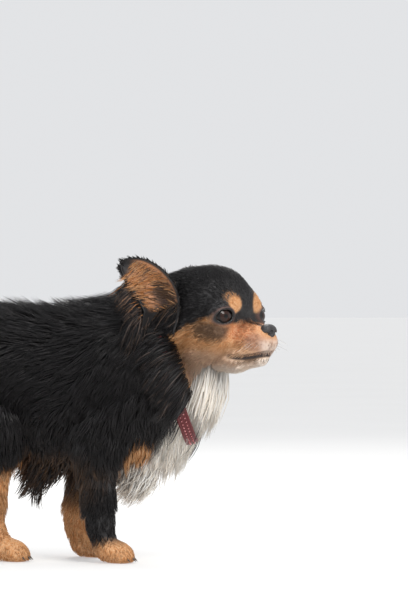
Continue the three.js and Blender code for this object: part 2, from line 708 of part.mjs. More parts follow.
// Collar: a flat band that hangs from the nape to the front of the chest
const COLLAR = {
  centre: [51, -5, 145],
  down: [0.334, -0.05, -0.94],
  across: [-0.2, 1, 0],
  halfLong: 51,
  halfWide: 43,
  width: 10,
  thick: 3,
};
function collarFrame() {
  const down = new THREE.Vector3(...COLLAR.down).normalize();
  const axis = new THREE.Vector3().crossVectors(down, new THREE.Vector3(...COLLAR.across)).normalize();
  const across = new THREE.Vector3().crossVectors(axis, down).normalize();
  return new THREE.Matrix4().makeBasis(down, across, axis).setPosition(...COLLAR.centre);
}
function collarBand(growIn, growOut, growWide, steps = 30) {
  const halfW = COLLAR.width / 2 + growWide;
  const points = [];
  for (let i = 0; i < steps; i++) {
    const angle = (2 * Math.PI * i) / steps;
    const [c, s] = [Math.cos(angle), Math.sin(angle)];
    for (const [out, z] of [[-growIn, -halfW], [COLLAR.thick + growOut, -halfW], [COLLAR.thick + growOut, halfW], [-growIn, halfW]]) {
      points.push([(COLLAR.halfLong + out) * c, (COLLAR.halfWide + out) * s, z]);
    }
  }
  const faces = [];
  for (let i = 0; i < steps; i++)
    for (let k = 0; k < 4; k++) {
      const [a, b] = [i * 4 + k, i * 4 + ((k + 1) % 4)];
      const [c, d] = [((i + 1) % steps) * 4 + ((k + 1) % 4), ((i + 1) % steps) * 4 + k];
      faces.push(a, d, c, a, c, b);
    }
  const matrix = collarFrame();
  const placed = points.map((p) => new THREE.Vector3(...p).applyMatrix4(matrix).toArray());
  let solid = solidFrom(placed, faces);
  if (solid.volume() < 0) {
    for (let i = 0; i < faces.length; i += 3) [faces[i + 1], faces[i + 2]] = [faces[i + 2], faces[i + 1]];
    solid = solidFrom(placed, faces);
  }
  return solid;
}

// Claws: four short cones on each paw, nearly down to the floor
function clawSolids([x, y]) {
  return TOE_SPREAD.map((side, i) => {
    const claw = new THREE.ConeGeometry(1.5, 7, 6).rotateZ(-Math.PI / 2 - 0.55);
    claw.translate(x + TOE_REACH[i] + 4.6, y + side, 4);
    return solidOf(claw);
  });
}

// Locks: flat tapered blades that start sunk in the core and follow the lie out to the tips
const LOCK_SINK = 3;
const LOCK_RINGS = [0, 0.36, 0.76];
const LOCK_WIDE = [0.7, 1, 0.62];
const LOCK_THICK = [6, 4.2, 2];
const LOCK_STEPS = 14;
const LOCK_APART = 25.5; // between roots where the coat is 16 deep
const SHORTEST_COAT = 7; // shallower than this, the coat has no locks
const LEAST_SHARED = 0.001; // cubic millimetres
const GROWN = 0.45; // added round a node where its neighbours' pieces have to clear it
const CLEAR = 0.35; // round each lock, kept free of every other node

const BIB = { ahead: [-36, -25, -14], across: [-10, 1, 11], height: -42, length: 52, width: 17 };
const FRINGE = { along: [0.2, 0.38, 0.56, 0.74], length: 18, width: 9 };

let seed = 7;
function random() {
  seed = (seed * 1664525 + 1013904223) % 4294967296;
  return seed / 4294967296;
}
const spread = (size) => (random() - 0.5) * 2 * size;

// A blade round a path of points, with its flat side square to the given normals
function blade(path, normals, width, grow) {
  const points = [];
  const last = path.length - 1;
  const at = (share) => {
    const x = share * last;
    const i = Math.min(Math.floor(x), last - 1);
    return { place: path[i].clone().lerp(path[i + 1], x - i), along: path[i + 1].clone().sub(path[i]).normalize(), i };
  };
  LOCK_RINGS.forEach((share, k) => {
    const { place, along, i } = at(share);
    const side = new THREE.Vector3().crossVectors(along, normals[i]).normalize();
    const out = new THREE.Vector3().crossVectors(side, along).normalize();
    const wide = (width * LOCK_WIDE[k]) / 2 + grow;
    const thick = (LOCK_THICK[k] * Math.min(1, width / 14)) / 2 + grow;
    if (k === 0) place.addScaledVector(along, -grow);
    points.push(place.clone().addScaledVector(side, wide));
    points.push(place.clone().addScaledVector(out, thick));
    points.push(place.clone().addScaledVector(side, -wide));
    points.push(place.clone().addScaledVector(out, -thick));
  });
  const end = at(1);
  points.push(end.place.addScaledVector(end.along, 3 * grow));
  const rings = LOCK_RINGS.length;
  const faces = [0, 2, 1, 0, 3, 2];
  for (let k = 0; k < rings - 1; k++)
    for (let m = 0; m < 4; m++) {
      const [a, b] = [4 * k + m, 4 * k + ((m + 1) % 4)];
      faces.push(a, b, b + 4, a, b + 4, a + 4);
    }
  const rim = 4 * (rings - 1);
  for (let m = 0; m < 4; m++) faces.push(rim + m, rim + ((m + 1) % 4), rim + 4);
  const flat = points.map((p) => p.toArray());
  const solid = solidFrom(flat, faces);
  if (solid.volume() > 0) return solid;
  return solidFrom(flat, faces.map((v, i) => faces[i - (i % 3) + [0, 2, 1][i % 3]]));
}

// Follows the lie from a root, kept between the core and the tips of the coat
function coatPath(root, length, form, depth) {
  const p = new THREE.Vector3(...root);
  const sway = new THREE.Vector3(spread(0.22), spread(0.22), spread(0.12));
  const out = slope(form, p.x, p.y, p.z).normalize();
  p.addScaledVector(out, -LOCK_SINK);
  const path = [p.clone()];
  const normals = [];
  const step = length / LOCK_STEPS;
  for (let i = 1; i <= LOCK_STEPS; i++) {
    const share = i / LOCK_STEPS;
    const [lx, ly, lz] = coatAt(p.x, p.y, p.z);
    const way = new THREE.Vector3(lx, ly, lz).normalize().add(sway).normalize();
    p.addScaledVector(way, step);
    const normal = slope(form, p.x, p.y, p.z).normalize();
    const here = form(p.x, p.y, p.z);
    const low = THREE.MathUtils.lerp(CORE_SHARE * depth - LOCK_SINK, 0.86 * depth, share);
    const high = THREE.MathUtils.lerp(CORE_SHARE * depth, 1.05 * depth, Math.sqrt(share));
    const shift = THREE.MathUtils.clamp(here, low, high) - here;
    p.addScaledVector(normal, THREE.MathUtils.clamp(shift, -step, step));
    path.push(p.clone());
    normals.push(normal);
  }
  // where the coat hangs straight off the skin, the flat side faces outwards from the body
  const straight = path[LOCK_STEPS].clone().sub(path[0]).normalize();
  normals.forEach((n) => {
    if (Math.abs(n.dot(straight)) > 0.8) n.set(straight.z * 0.2, path[0].y < 0 ? -1 : 1, 0).normalize();
  });
  normals.push(normals[LOCK_STEPS - 1]);
  return { path, normals };
}

// A lock that leaves its root one way and turns another, such as down
function freePath(root, way, turnTo, length, normal) {
  const p = new THREE.Vector3(...root);
  const path = [p.clone()];
  for (let i = 1; i <= LOCK_STEPS; i++) {
    const step = new THREE.Vector3(...way).normalize().lerp(new THREE.Vector3(...turnTo).normalize(), i / LOCK_STEPS);
    p.addScaledVector(step.normalize(), length / LOCK_STEPS);
    path.push(p.clone());
  }
  return { path, normals: path.map(() => new THREE.Vector3(...normal)) };
}

const lockSolids = ({ path, normals }, width) => ({
  lock: blade(path, normals, width, 0),
  room: blade(path, normals, width, CLEAR),
});

// Even spacing over the core: each new root keeps its distance from those before it
function lockRoots(candidates) {
  const roots = [];
  for (const p of candidates) {
    if (p[2] < 30 || Math.abs(shell(...p)) > 1) continue;
    const depth = coatAt(...p)[3];
    if (depth < SHORTEST_COAT) continue;
    const apart = THREE.MathUtils.clamp(LOCK_APART * Math.sqrt(depth / 16), 16, 29);
    if (roots.every((r) => Math.hypot(r.p[0] - p[0], r.p[1] - p[1], r.p[2] - p[2]) > apart)) roots.push({ p, depth });
  }
  return roots;
}

// Assembly
const shell = coatSurface(CORE_SHARE);
const floorUp = box([-FAR, -FAR, 0], [FAR, FAR, FAR]);

function flesh([low, high], [cell, slack]) {
  const skin = wrap(shell, low, high, cell);
  const even = skin.points.map((p) => [...p]);
  const { points, faces } = thin(skin.points, skin.faces, slack);
  return { solid: solidFrom(points, faces), even };
}

const HEAD_BOX = [[20, -90, 115], [168, 65, 262]];
const BODY_BOX = [[-250, -90, 20], [130, 90, 285]];
const TAIL_BOX = [[-250, -50, 150], [-110, 60, 290]];

const collar = collarBand(0, 0, 0);
const collarRoom = collarBand(GAP, GAP, GAP);

const headWrap = flesh(HEAD_BOX, FINE.head);
const sockets = eyeSolids(EYE_R + 1.4, 1);
const openings = [1, -1].map(lidOpening);
const noseRoom = noseSolid(offset(nosePlain, 0.8), 3);
const jawWrap = wrap(offset(jawForm, 1.6), ...HEAD_BOX, FINE.head[0]);

const headSolid = headWrap.solid
  .intersect(beyond(HEAD_CUT, half))
  .subtract(jawBlock(GAP))
  .subtract(join([...sockets, ...openings, noseRoom, collarRoom]));
node("head", headSolid, "black");
node("jaw", solidFrom(jawWrap.points, jawWrap.faces).intersect(jawBlock(0)).subtract(noseRoom), "tan");
node("nose", noseSolid(noseForm, NOSE_CELL), "nose");
eyeSolids(EYE_R, 2).forEach((eye, i) => node(["eye_left", "eye_right"][i], eye, "eye"));
const headRoom = swollen(made.head, GROWN);
for (const [name, ear] of Object.entries(EARS)) node(name, earSolid(ear).subtract(headRoom), "black");

const bodyWrap = flesh(BODY_BOX, FINE.body);
const tailWrap = flesh(TAIL_BOX, FINE.tail);
const legRoom = join(legBoxes.map((b) => boxOf(b, half)));
const beforeHead = bodyWrap.solid.subtract(beyond(HEAD_CUT, -half));
node("neck", beforeHead.intersect(beyond(NECK_CUT, half)).subtract(collarRoom), "black");

const tailRegion = (grow) =>
  join([
    beyond(TAIL_CUT, -grow).intersect(box([-FAR, -FAR, 0], [TAIL_FRONT + grow, FAR, FAR])),
    box([-FAR, -FAR, TAIL_LOW - grow], [-120, FAR, FAR]),
  ]);
const trunkWrap = beforeHead.subtract(beyond(NECK_CUT, -half)).subtract(join([legRoom, collarRoom]));
const slab = (from, to) => box([from + half, -FAR, -FAR], [to - half, FAR, FAR]);
node("chest", trunkWrap.intersect(slab(CHEST_BACK, FAR)), "black");
node("loin", trunkWrap.intersect(slab(LOIN_BACK, CHEST_BACK)), "black");
node("rump", trunkWrap.intersect(slab(-FAR, LOIN_BACK)).subtract(tailRegion(half)), "black");

const tailSolid = tailWrap.solid.intersect(tailRegion(-half));
node("tail_base", tailSolid.subtract(beyond(TAIL_MIDDLE, -half)), "black");
node("tail_end", tailSolid.intersect(beyond(TAIL_MIDDLE, half)), "black");

const TIER_NAMES = { fore: ["upper_arm", "forearm", "paw"], hind: ["thigh", "shank", "foot"] };
const legNode = (name, tier) => {
  const [end, side] = name.split("_");
  return `${end}_${TIER_NAMES[end][tier]}_${side}`;
};
for (const name of Object.keys(LEGS)) {
  legTiers(name).forEach((tier, i) => {
    const around = [tier.low.map((v) => v - 7), tier.high.map((v) => v + 7)];
    let solid = flesh(around, FINE.leg[i]).solid.intersect(boxOf(tier, -half));
    if (i === 2) solid = solid.add(join(clawSolids(LEGS[name].paw)));
    node(legNode(name, i), solid.intersect(floorUp), name === "fore_left" ? "tan" : "black");
  });
}
node("collar", collar, "collar");

// Which node a point of the coat belongs to
const side = (cut, p) => cut.normal.reduce((sum, n, k) => sum + n * (p[k] - cut.point[k]), 0);
function nodeAt(p) {
  if (side(HEAD_CUT, p) > 0) return "head";
  if (side(NECK_CUT, p) > 0) return "neck";
  if (p[2] > TAIL_LOW && p[0] < -120) return side(TAIL_MIDDLE, p) > 0 ? "tail_end" : "tail_base";
  if (side(TAIL_CUT, p) > 0 && p[0] < TAIL_FRONT) return "tail_base";
  for (const name of Object.keys(LEGS)) {
    const tier = legTiers(name).findIndex(({ low, high }) => p.every((v, k) => v > low[k] && v < high[k]));
    if (tier >= 0) return legNode(name, tier);
  }
  if (p[0] > CHEST_BACK) return "chest";
  return p[0] > LOIN_BACK ? "loin" : "rump";
}

// A solid made larger all round, by moving its vertices outwards
function swollen(solid, by) {
  const geometry = geometryOf(solid);
  geometry.computeVertexNormals();
  const at = geometry.attributes.position.array;
  const out = geometry.attributes.normal.array;
  return solidFrom([...at].map((v, i) => v + by * out[i]), [...geometry.index.array]);
}

// Locks
const locks = {};
const grow = (name, path, width) => {
  locks[name] ??= [];
  locks[name].push(lockSolids(path, width));
};
for (const { p, depth } of lockRoots([...bodyWrap.even, ...tailWrap.even])) {
  const length = THREE.MathUtils.clamp(1.8 * depth + 15, 18, 60) * (1 + spread(0.15));
  const name = nodeAt(p);
  const form = /hind|fore|tail/.test(name) ? wholeForm : torsoForm;
  grow(name, coatPath(p, length, form, depth), THREE.MathUtils.clamp(0.9 * depth + 7, 10, 24));
}
// the white bib, hanging free from the throat
for (const p of BIB.ahead)
  for (const q of BIB.across) {
    const root = fromHead([p, q, BIB.height + spread(1.5)]);
    const [way, turnTo] = [[0.25, spread(0.15), -1], [-0.12, spread(0.1), -1]];
    const path = freePath(root, way, turnTo, BIB.length + spread(6), [0.7, q < 0 ? -1 : 1, 0]);
    grow(nodeAt(root), path, BIB.width);
  }
// the fringe behind each ear, and the long hair at its foot
for (const [name, ear] of Object.entries(EARS)) {
  const rear = name === "ear_right" ? -1 : 1;
  for (const v of FRINGE.along) {
    const root = earSurface(ear, rear * 0.82, v);
    const inner = earSurface(ear, rear * 0.5, v);
    const way = root.clone().sub(inner).normalize();
    const [start, out] = [fromHead(root.toArray()), turnFromHead(way.toArray())];
    const path = freePath(start, out, [-0.35, 0, -1], FRINGE.length, turnFromHead(ear.opens));
    grow(name, path, FRINGE.width);
  }
}
const order = Object.keys(locks);
const cores = Object.fromEntries(Object.entries(made).map(([name, solid]) => [name, swollen(solid, GROWN)]));
const rooms = Object.fromEntries(order.map((name) => [name, join(locks[name].map((l) => l.room))]));
order.forEach((name, i) => {
  const others = Object.keys(made).filter((other) => other !== name && other !== "collar");
  const blocked = join([...others.map((other) => cores[other]), collarRoom, ...order.slice(0, i).map((a) => rooms[a])]);
  made[name] = made[name].add(join(locks[name].map((l) => l.lock)).subtract(blocked)).intersect(floorUp);
});

// Where two finished nodes still share a sliver, the later one is cut back from it
const names = Object.keys(made);
for (const name of names) made[name] = cleaned(largest(made[name]));
names.forEach((name, i) => {
  for (const before of names.slice(0, i)) {
    const shared = made[name].intersect(made[before]);
    if (shared.volume() < LEAST_SHARED) continue;
    made[name] = cleaned(largest(made[name].subtract(swollen(shared, GAP))));
  }
});
names.forEach(show);

const bounds = new THREE.Box3().setFromObject(dog);
const middle = bounds.getCenter(new THREE.Vector3());
dog.position.set(-middle.x, -middle.y, 0);
export default dog;
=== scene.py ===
# A long-coated chihuahua: skin, coat, ears, eyes, nose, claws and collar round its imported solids.
# The frame is in metres, +Z up. The body faces +X and its left side is +Y.

import math

import bmesh
import bpy
import numpy as np
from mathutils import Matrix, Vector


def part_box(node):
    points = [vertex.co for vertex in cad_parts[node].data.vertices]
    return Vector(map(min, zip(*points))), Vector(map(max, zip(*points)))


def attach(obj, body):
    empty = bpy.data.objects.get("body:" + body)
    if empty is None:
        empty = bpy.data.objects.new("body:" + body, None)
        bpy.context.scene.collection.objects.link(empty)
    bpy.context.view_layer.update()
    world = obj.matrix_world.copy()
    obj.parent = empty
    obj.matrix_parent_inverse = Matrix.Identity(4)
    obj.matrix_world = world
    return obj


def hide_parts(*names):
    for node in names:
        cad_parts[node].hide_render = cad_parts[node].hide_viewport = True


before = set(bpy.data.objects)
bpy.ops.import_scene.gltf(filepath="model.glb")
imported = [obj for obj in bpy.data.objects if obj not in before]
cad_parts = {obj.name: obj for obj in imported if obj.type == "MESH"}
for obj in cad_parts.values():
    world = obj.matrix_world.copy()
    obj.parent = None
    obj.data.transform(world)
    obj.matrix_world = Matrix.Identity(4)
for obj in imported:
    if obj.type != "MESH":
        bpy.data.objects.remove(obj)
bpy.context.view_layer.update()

import openvdb
from bpy.props import FloatProperty, FloatVectorProperty, PointerProperty
from bpy.types import Operator, Panel, PropertyGroup
from mathutils import Vector
from mathutils.kdtree import KDTree

bl_info = {
    "name": "Long-coated chihuahua",
    "version": (1, 0, 0),
    "blender": (4, 5, 0),
    "location": "3D View > Sidebar > Chihuahua",
    "description": "Builds the skin, coat, face, claws and collar of a standing chihuahua",
    "category": "Object",
}

MM = 0.001
random = np.random.default_rng(11)
# The share of the tufts that is grown, and how much wider they are made; lowering the share gives a quicker
# build
TUFT_SHARE = 1.0
EAR_TUFT_SHARE = 1.0
WIDER = 1.0
BIB_WIDER = 1.0

# Design sizes, in millimetres, in the frame that the solids were drawn in
EYE_R = 9.3
LID_R = 11.0
EYE_OUT = 23.5
HEAD_AT = np.array([107.0, -18.0, 195.0])
HEAD_TURN = math.radians(-22)
GAZE = math.radians(27)
SKIN_SHARE = 0.3  # how far the skin stands out of the flesh towards the coat's tips
SINK = 1.0  # how deep a tuft starts in the skin


def unit(v):
    return v / np.maximum(np.linalg.norm(v, axis=-1, keepdims=True), 1e-9)


def lerp(a, b, t):
    return a + (b - a) * t


def smooth_step(low, high, x):
    t = np.clip((x - low) / (high - low), 0, 1)
    return t * t * (3 - 2 * t)


# The head's own frame: p forward, q to its left, r up
COS, SIN = math.cos(HEAD_TURN), math.sin(HEAD_TURN)
HEAD_AXES = np.array([[COS, SIN, 0.0], [-SIN, COS, 0.0], [0.0, 0.0, 1.0]])


def from_head(p):
    return np.asarray(p, float) @ HEAD_AXES + HEAD_AT


def turn_from_head(v):
    return np.asarray(v, float) @ HEAD_AXES


def to_head(p):
    return (p - HEAD_AT) @ HEAD_AXES.T


def placed():
    """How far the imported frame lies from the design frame, in metres."""
    low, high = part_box("eye_right")
    return np.array((low + high) / 2) - from_head([0, -EYE_OUT, 0]) * MM


SHIFT = placed()


def to_frame(points):
    return np.asarray(points, float) * MM + SHIFT


# Fields: negative inside, in millimetres outside
def egg(centre, radii):
    centre, radii = np.array(centre, float), np.array(radii, float)

    def field(p):
        d = p - centre
        k0 = np.sqrt(((d / radii) ** 2).sum(1))
        k1 = np.sqrt(((d / radii**2) ** 2).sum(1))
        return k0 * (k0 - 1) / np.maximum(k1, 1e-9)

    return field


def limb(a, b, ra, rb):
    a, u = np.array(a, float), np.array(b, float) - np.array(a, float)

    def field(p):
        d = p - a
        t = np.clip(d @ u / (u @ u), 0, 1)
        return np.sqrt(((d - t[:, None] * u) ** 2).sum(1)) - (ra + t * (rb - ra))

    return field


def soft_min(a, b, k):
    h = np.maximum(k - np.abs(a - b), 0) / k
    return np.minimum(a, b) - h * h * k / 4


def blend(k, *fields):
    def field(p):
        d = fields[0](p)
        for other in fields[1:]:
            d = soft_min(d, other(p), k)
        return d

    return field


def both_sides(field):
    return lambda p: field(np.column_stack([p[:, 0], np.abs(p[:, 1]), p[:, 2]]))


def on_head(field):
    return lambda p: field(to_head(p))


# Head, in its own frame
skull = both_sides(
    blend(
        9,
        egg([-31, 0, 6.5], [39, 33, 29.5]),
        egg([-15, 0, 12], [22, 25, 23]),
        egg([0, 16, 10], [8, 10, 7]),
        egg([-43, 23, 0], [12, 8, 12]),
        egg([-20, 17, -13], [25, 15, 19]),
        egg([12, 0, -17], [19.5, 13, 11.5]),
        egg([20.5, 5.5, -20.5], [12, 7.5, 8.5]),
    )
)
lids = both_sides(egg([0, EYE_OUT, 0], [LID_R] * 3))
jaw = blend(8, limb([-30, 0, -25], [2, 0, -29], 15.5, 10.5), limb([0, 0, -30], [21.5, 0, -31], 10.5, 7.2))
head_form = on_head(blend(5, blend(6, skull, jaw), lids))

# Trunk
trunk = both_sides(
    blend(
        20,
        egg([-32, 0, 136], [80, 40, 51]),
        egg([12, 0, 148], [36, 38, 40]),
        egg([26, 0, 118], [24, 30, 33]),
        limb([-90, 0, 146], [-148, 0, 148], 40, 35),
        egg([-152, 0, 147], [33, 37, 38]),
    )
)
neck = limb([18, 0, 150], from_head([-44, 0, -4]), 40, 31)

# Legs: the joints of each, the flesh's radius at them, and the middle of its paw
LEGS = {
    "fore_right": (
        [[30, -26, 128], [-2, -31, 98], [0, -29, 31], [3, -29, 13]],
        [19, 14, 8, 7.5],
        [12, -29, 8.5],
    ),
    "fore_left": (
        [[24, 26, 128], [-20, 31, 99], [-33, 29, 31], [-31, 29, 13]],
        [19, 14, 8, 7.5],
        [-22, 29, 8.5],
    ),
    "hind_right": (
        [[-146, -25, 146], [-88, -34, 106], [-92, -30, 40], [-82, -30, 13]],
        [28, 20, 8.5, 7],
        [-73, -30, 8.5],
    ),
    "hind_left": (
        [[-150, 25, 146], [-120, 34, 104], [-171, 30, 45], [-165, 30, 13]],
        [28, 20, 8.5, 7],
        [-156, 30, 8.5],
    ),
}
PAW_R = [12, 9.5, 8.8]
TOE_SPREAD = [-7.4, -2.6, 2.6, 7.4]
TOE_REACH = [5.5, 9, 9, 5.5]


def chain(k, joints, radii):
    bones = [limb(joints[i], joints[i + 1], radii[i], radii[i + 1]) for i in range(len(joints) - 1)]
    return blend(k, *bones)


def hamstring(joints):
    hip, knee = joints[0], joints[1]
    return egg([(2 * hip[0] + knee[0]) / 3 - 8, hip[1] * 1.05, 126], [25, 16, 30])


def paw_form(paw):
    x, y, z = paw
    toes = [limb([x - 2, y + s * 0.7, z], [x + r, y + s, 5], 5.6, 4.4) for s, r in zip(TOE_SPREAD, TOE_REACH)]
    return blend(3, egg(paw, PAW_R), *toes)


TAIL = np.array([[-176, 0, 168], [-200, 2, 196], [-201, 5, 228], [-180, 8, 249], [-155, 11, 247]], float)
TAIL_R = [11, 8, 6.5, 5.5, 4]
tail_form = chain(4, TAIL, TAIL_R)
hamstrings = [hamstring(LEGS[name][0]) for name in ("hind_right", "hind_left")]
leg_forms = [chain(8, joints, radii) for joints, radii, _ in LEGS.values()]
paw_forms = [paw_form(paw) for _, _, paw in LEGS.values()]
body_form = blend(12, blend(18, trunk, neck), *hamstrings, *leg_forms)
torso_form = blend(9, blend(18, trunk, neck), *hamstrings, head_form)
whole_form = blend(7, blend(9, body_form, head_form), tail_form, *paw_forms)

# The coat: how it lies and how deep it is, at named places: frame, place, lie, depth
COAT = {
    "bridge": ("head", [24, 0, -5], [-1, 0, 0.3], 0.8),
    "stop": ("head", [8, 0, 2], [-0.5, 0, 0.9], 1.2),
    "forehead": ("head", [2, 0, 24], [-0.7, 0, 0.7], 2.5),
    "crown": ("head", [-28, 0, 39], [-1, 0, 0.1], 3.5),
    "temple": ("head", [-26, 33, 10], [-1, 0.1, -0.2], 3),
    "brow": ("head", [9, 18, 15], [-0.5, 0.4, 0.7], 1.6),
    "eye_rim": ("head", [8, 30, -2], [-0.8, 0.4, -0.3], 0.8),
    "cheek": ("head", [-6, 26, -17], [-1, 0.1, -0.3], 3),
    "jowl": ("head", [-34, 27, -22], [-0.8, 0.1, -0.6], 7),
    "lip": ("head", [24, 11, -20], [-0.9, 0.2, -0.4], 1),
    "muzzle_front": ("head", [34, 0, -22], [0, 0.3, -1], 1.4),
    "chin": ("head", [22, 0, -38], [-0.8, 0, -0.6], 2),
    "jaw_under": ("head", [-4, 0, -42], [-0.8, 0, -0.6], 4),
    "throat": ("head", [-28, 0, -46], [-0.2, 0, -1], 13),
    "nape": ("head", [-68, 0, 10], [-0.9, 0, -0.4], 9),
    "neck_top": ("body", [18, 0, 193], [-1, 0, 0], 17),
    "neck_side": ("body", [38, 36, 165], [-0.4, 0.1, -1], 19),
    "neck_front": ("body", [78, -8, 130], [0, 0, -1], 26),
    "chest_front": ("body", [56, 0, 112], [-0.1, 0, -1], 15),
    "brisket": ("body", [26, 0, 64], [-0.3, 0, -1], 46),
    "withers": ("body", [-8, 0, 190], [-1, 0, 0.1], 17),
    "back": ("body", [-70, 0, 188], [-1, 0, 0.05], 17),
    "croup": ("body", [-150, 0, 186], [-1, 0, 0], 17),
    "shoulder": ("body", [14, 41, 136], [-0.5, 0, -0.9], 15),
    "ribs": ("body", [-45, 41, 140], [-0.9, 0.05, -0.4], 15),
    "flank": ("body", [-105, 38, 140], [-0.9, 0.05, -0.45], 15),
    "belly": ("body", [-55, 0, 62], [-0.4, 0, -0.9], 50),
    "groin": ("body", [-115, 0, 92], [-0.5, 0, -0.9], 30),
    "thigh": ("body", [-130, 48, 118], [-0.5, 0.05, -0.9], 11),
    "buttock": ("body", [-184, 14, 136], [-0.3, 0.1, -1], 22),
}
# Down each leg: how far ahead of its middle, how deep, and at what height
LEG_COAT = {
    "fore": [[16, 12, 110], [-16, 10, 88], [10, 4, 70], [-12, 9, 58], [8, 2, 34], [-9, 4, 34], [8, 1.5, 10]],
    "hind": [[20, 8, 108], [-22, 22, 96], [12, 4, 72], [-14, 12, 60], [8, 2, 32], [-9, 5, 40], [8, 1.5, 10]],
}
TAIL_COAT = [12, 16, 16, 16, 16]
ANCHOR_REACH = 30  # added to a squared distance, in square millimetres


def along_leg(joints, height):
    """The leg's centre at a height."""
    for i in range(1, len(joints)):
        a, b = np.array(joints[i - 1], float), np.array(joints[i], float)
        if height >= b[2] or i == len(joints) - 1:
            return lerp(a, b, min(max((a[2] - height) / (a[2] - b[2]), 0), 1))


def coat_anchors():
    rows = []
    for kind, place, lie, depth in COAT.values():
        for side in (1, -1) if abs(place[1]) > 6 else (1,):
            at, way = np.array(place, float) * [1, side, 1], np.array(lie, float) * [1, side, 1]
            if kind == "head":
                at, way = from_head(at), turn_from_head(way)
            rows.append([*at, *unit(way), depth])
    for name, (joints, _, _) in LEGS.items():
        for ahead, depth, height in LEG_COAT[name[:4]]:
            at = along_leg(joints, height)
            way = unit(np.array([0.05 if ahead > 0 else -0.35, 0, -1]))
            rows.append([at[0] + ahead, at[1], height, *way, depth])
    for i, depth in enumerate(TAIL_COAT):
        ahead = TAIL[min(i + 1, len(TAIL) - 1)] - TAIL[max(i - 1, 0)]
        rows.append([*TAIL[i], *unit(ahead), depth])
    return np.array(rows)


ANCHORS = coat_anchors()


def in_chunks(work, points, size=60000):
    return np.concatenate([work(points[i : i + size]) for i in range(0, len(points), size)])


def coat_rows(points):
    """Weighted by nearness to the anchors: lie x, y, z and depth."""

    def work(p):
        far = (p**2).sum(1)[:, None] + (ANCHORS[:, :3] ** 2).sum(1) - 2 * p @ ANCHORS[:, :3].T
        weight = 1 / (far + ANCHOR_REACH) ** 2
        return weight @ ANCHORS[:, 3:] / weight.sum(1)[:, None]

    return in_chunks(work, points)


def coat_at(points):
    rows = coat_rows(points)
    return rows[:, :3], rows[:, 3]


def slope(field, points, h=0.4):
    corners = np.array([[1, -1, -1], [-1, -1, 1], [-1, 1, -1], [1, 1, 1]], float)
    return sum(corner * field(points + corner * h)[:, None] for corner in corners) / (4 * h)


# The openings between the lids, in the head's frame
LID_HALF_WIDTH = 7.3
LID_HALF_HEIGHT = 5.2


def lid_distance(h):
    """How far points lie outside the nearer eye's opening, seen along its gaze, in millimetres."""
    q = np.abs(h[:, 1]) - EYE_OUT
    out = h[:, 0] * math.cos(GAZE) + q * math.sin(GAZE)
    across = -h[:, 0] * math.sin(GAZE) + q * math.cos(GAZE)
    up = h[:, 2] + 0.12 * across
    half_height = np.where(up > 0, LID_HALF_HEIGHT, 0.86 * LID_HALF_HEIGHT)
    wide = np.hypot(across / LID_HALF_WIDTH, up / half_height)
    return np.where(out > 0, (wide - 1) * half_height, 40.0), out


def skin_field(points):
    d = whole_form(points) - SKIN_SHARE * coat_rows(points)[:, 3]
    opening, out = lid_distance(to_head(points))
    return np.maximum(d, -np.maximum(opening, 1 - out))


def facing_in(points, faces):
    """Whether a closed mesh's faces look inward, told by the sign of its volume."""
    a, b, c = (points[faces[:, k]] for k in range(3))
    return (np.cross(a, b) * c).sum() < 0


def wrap(field, low, high, cell, block=4, reach=1.9):
    """The field's zero surface in even facets. Only blocks of the grid that lie near it are worked out."""
    low = np.array(low, float)
    blocks = np.ceil((np.array(high) - low) / (cell * block)).astype(int)
    index = np.stack(np.meshgrid(*[np.arange(n) for n in blocks], indexing="ij"), -1).reshape(-1, 3)
    middle = in_chunks(field, low + (index * block + (block - 1) / 2) * cell)
    value = np.where(middle < 0, -1.0, 1.0).reshape(blocks) * cell * 2
    for axis in range(3):
        value = np.repeat(value, block, axis)
    near = index[np.abs(middle) < cell * block * reach]
    inner = np.stack(np.meshgrid(*[np.arange(block)] * 3, indexing="ij"), -1).reshape(-1, 3)
    fine = (near[:, None] * block + inner).reshape(-1, 3)
    worked = np.clip(in_chunks(field, low + fine * cell), -2 * cell, 2 * cell)
    value[fine[:, 0], fine[:, 1], fine[:, 2]] = worked
    grid = openvdb.FloatGrid(2 * cell)
    grid.copyFromArray(value.astype(np.float32))
    points, triangles, quads = grid.convertToPolygons(isovalue=0.0, adaptivity=0.0)
    points = low + points * cell
    faces = np.concatenate([quads[:, [0, 1, 2]], quads[:, [0, 2, 3]], triangles.reshape(-1, 3)]).astype(int)
    if facing_in(points, faces):
        quads = quads[:, ::-1]
    return points, quads


# Meshes
def mesh_object(name, points, faces, material, smooth=True):
    """A piece on the dog's one body, from design points and faces that all have as many corners."""
    faces = np.ascontiguousarray(faces, np.int32)
    mesh = bpy.data.meshes.new(name)
    mesh.vertices.add(len(points))
    mesh.vertices.foreach_set("co", to_frame(points).astype(np.float32).ravel())
    mesh.loops.add(faces.size)
    mesh.loops.foreach_set("vertex_index", faces.ravel())
    mesh.polygons.add(len(faces))
    mesh.polygons.foreach_set("loop_start", np.arange(0, faces.size, faces.shape[1], dtype=np.int32))
    mesh.polygons.foreach_set("use_smooth", np.full(len(faces), smooth))
    mesh.update(calc_edges=True)
    mesh.materials.append(material)
    piece = bpy.data.objects.new(name, mesh)
    bpy.context.scene.collection.objects.link(piece)
    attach(piece, "root")
    return piece


def taken_out(bm):
    """The points and faces of a bmesh, which is freed."""
    bm.verts.index_update()
    points = np.array([v.co[:] for v in bm.verts])
    faces = np.array([[v.index for v in f.verts] for f in bm.faces])
    bm.free()
    return points, faces


def set_floats(mesh, values):
    for name, numbers in values.items():
        layer = mesh.attributes.new(name, "FLOAT", "POINT")
        layer.data.foreach_set("value", np.ascontiguousarray(numbers, np.float32))


# Markings, from places in the head's frame and the body's
def mouth_line(p):
    return np.interp(p, [1, 7, 14, 22, 30, 44], [-30.2, -31.6, -31.6, -30.6, -28.8, -26.5])


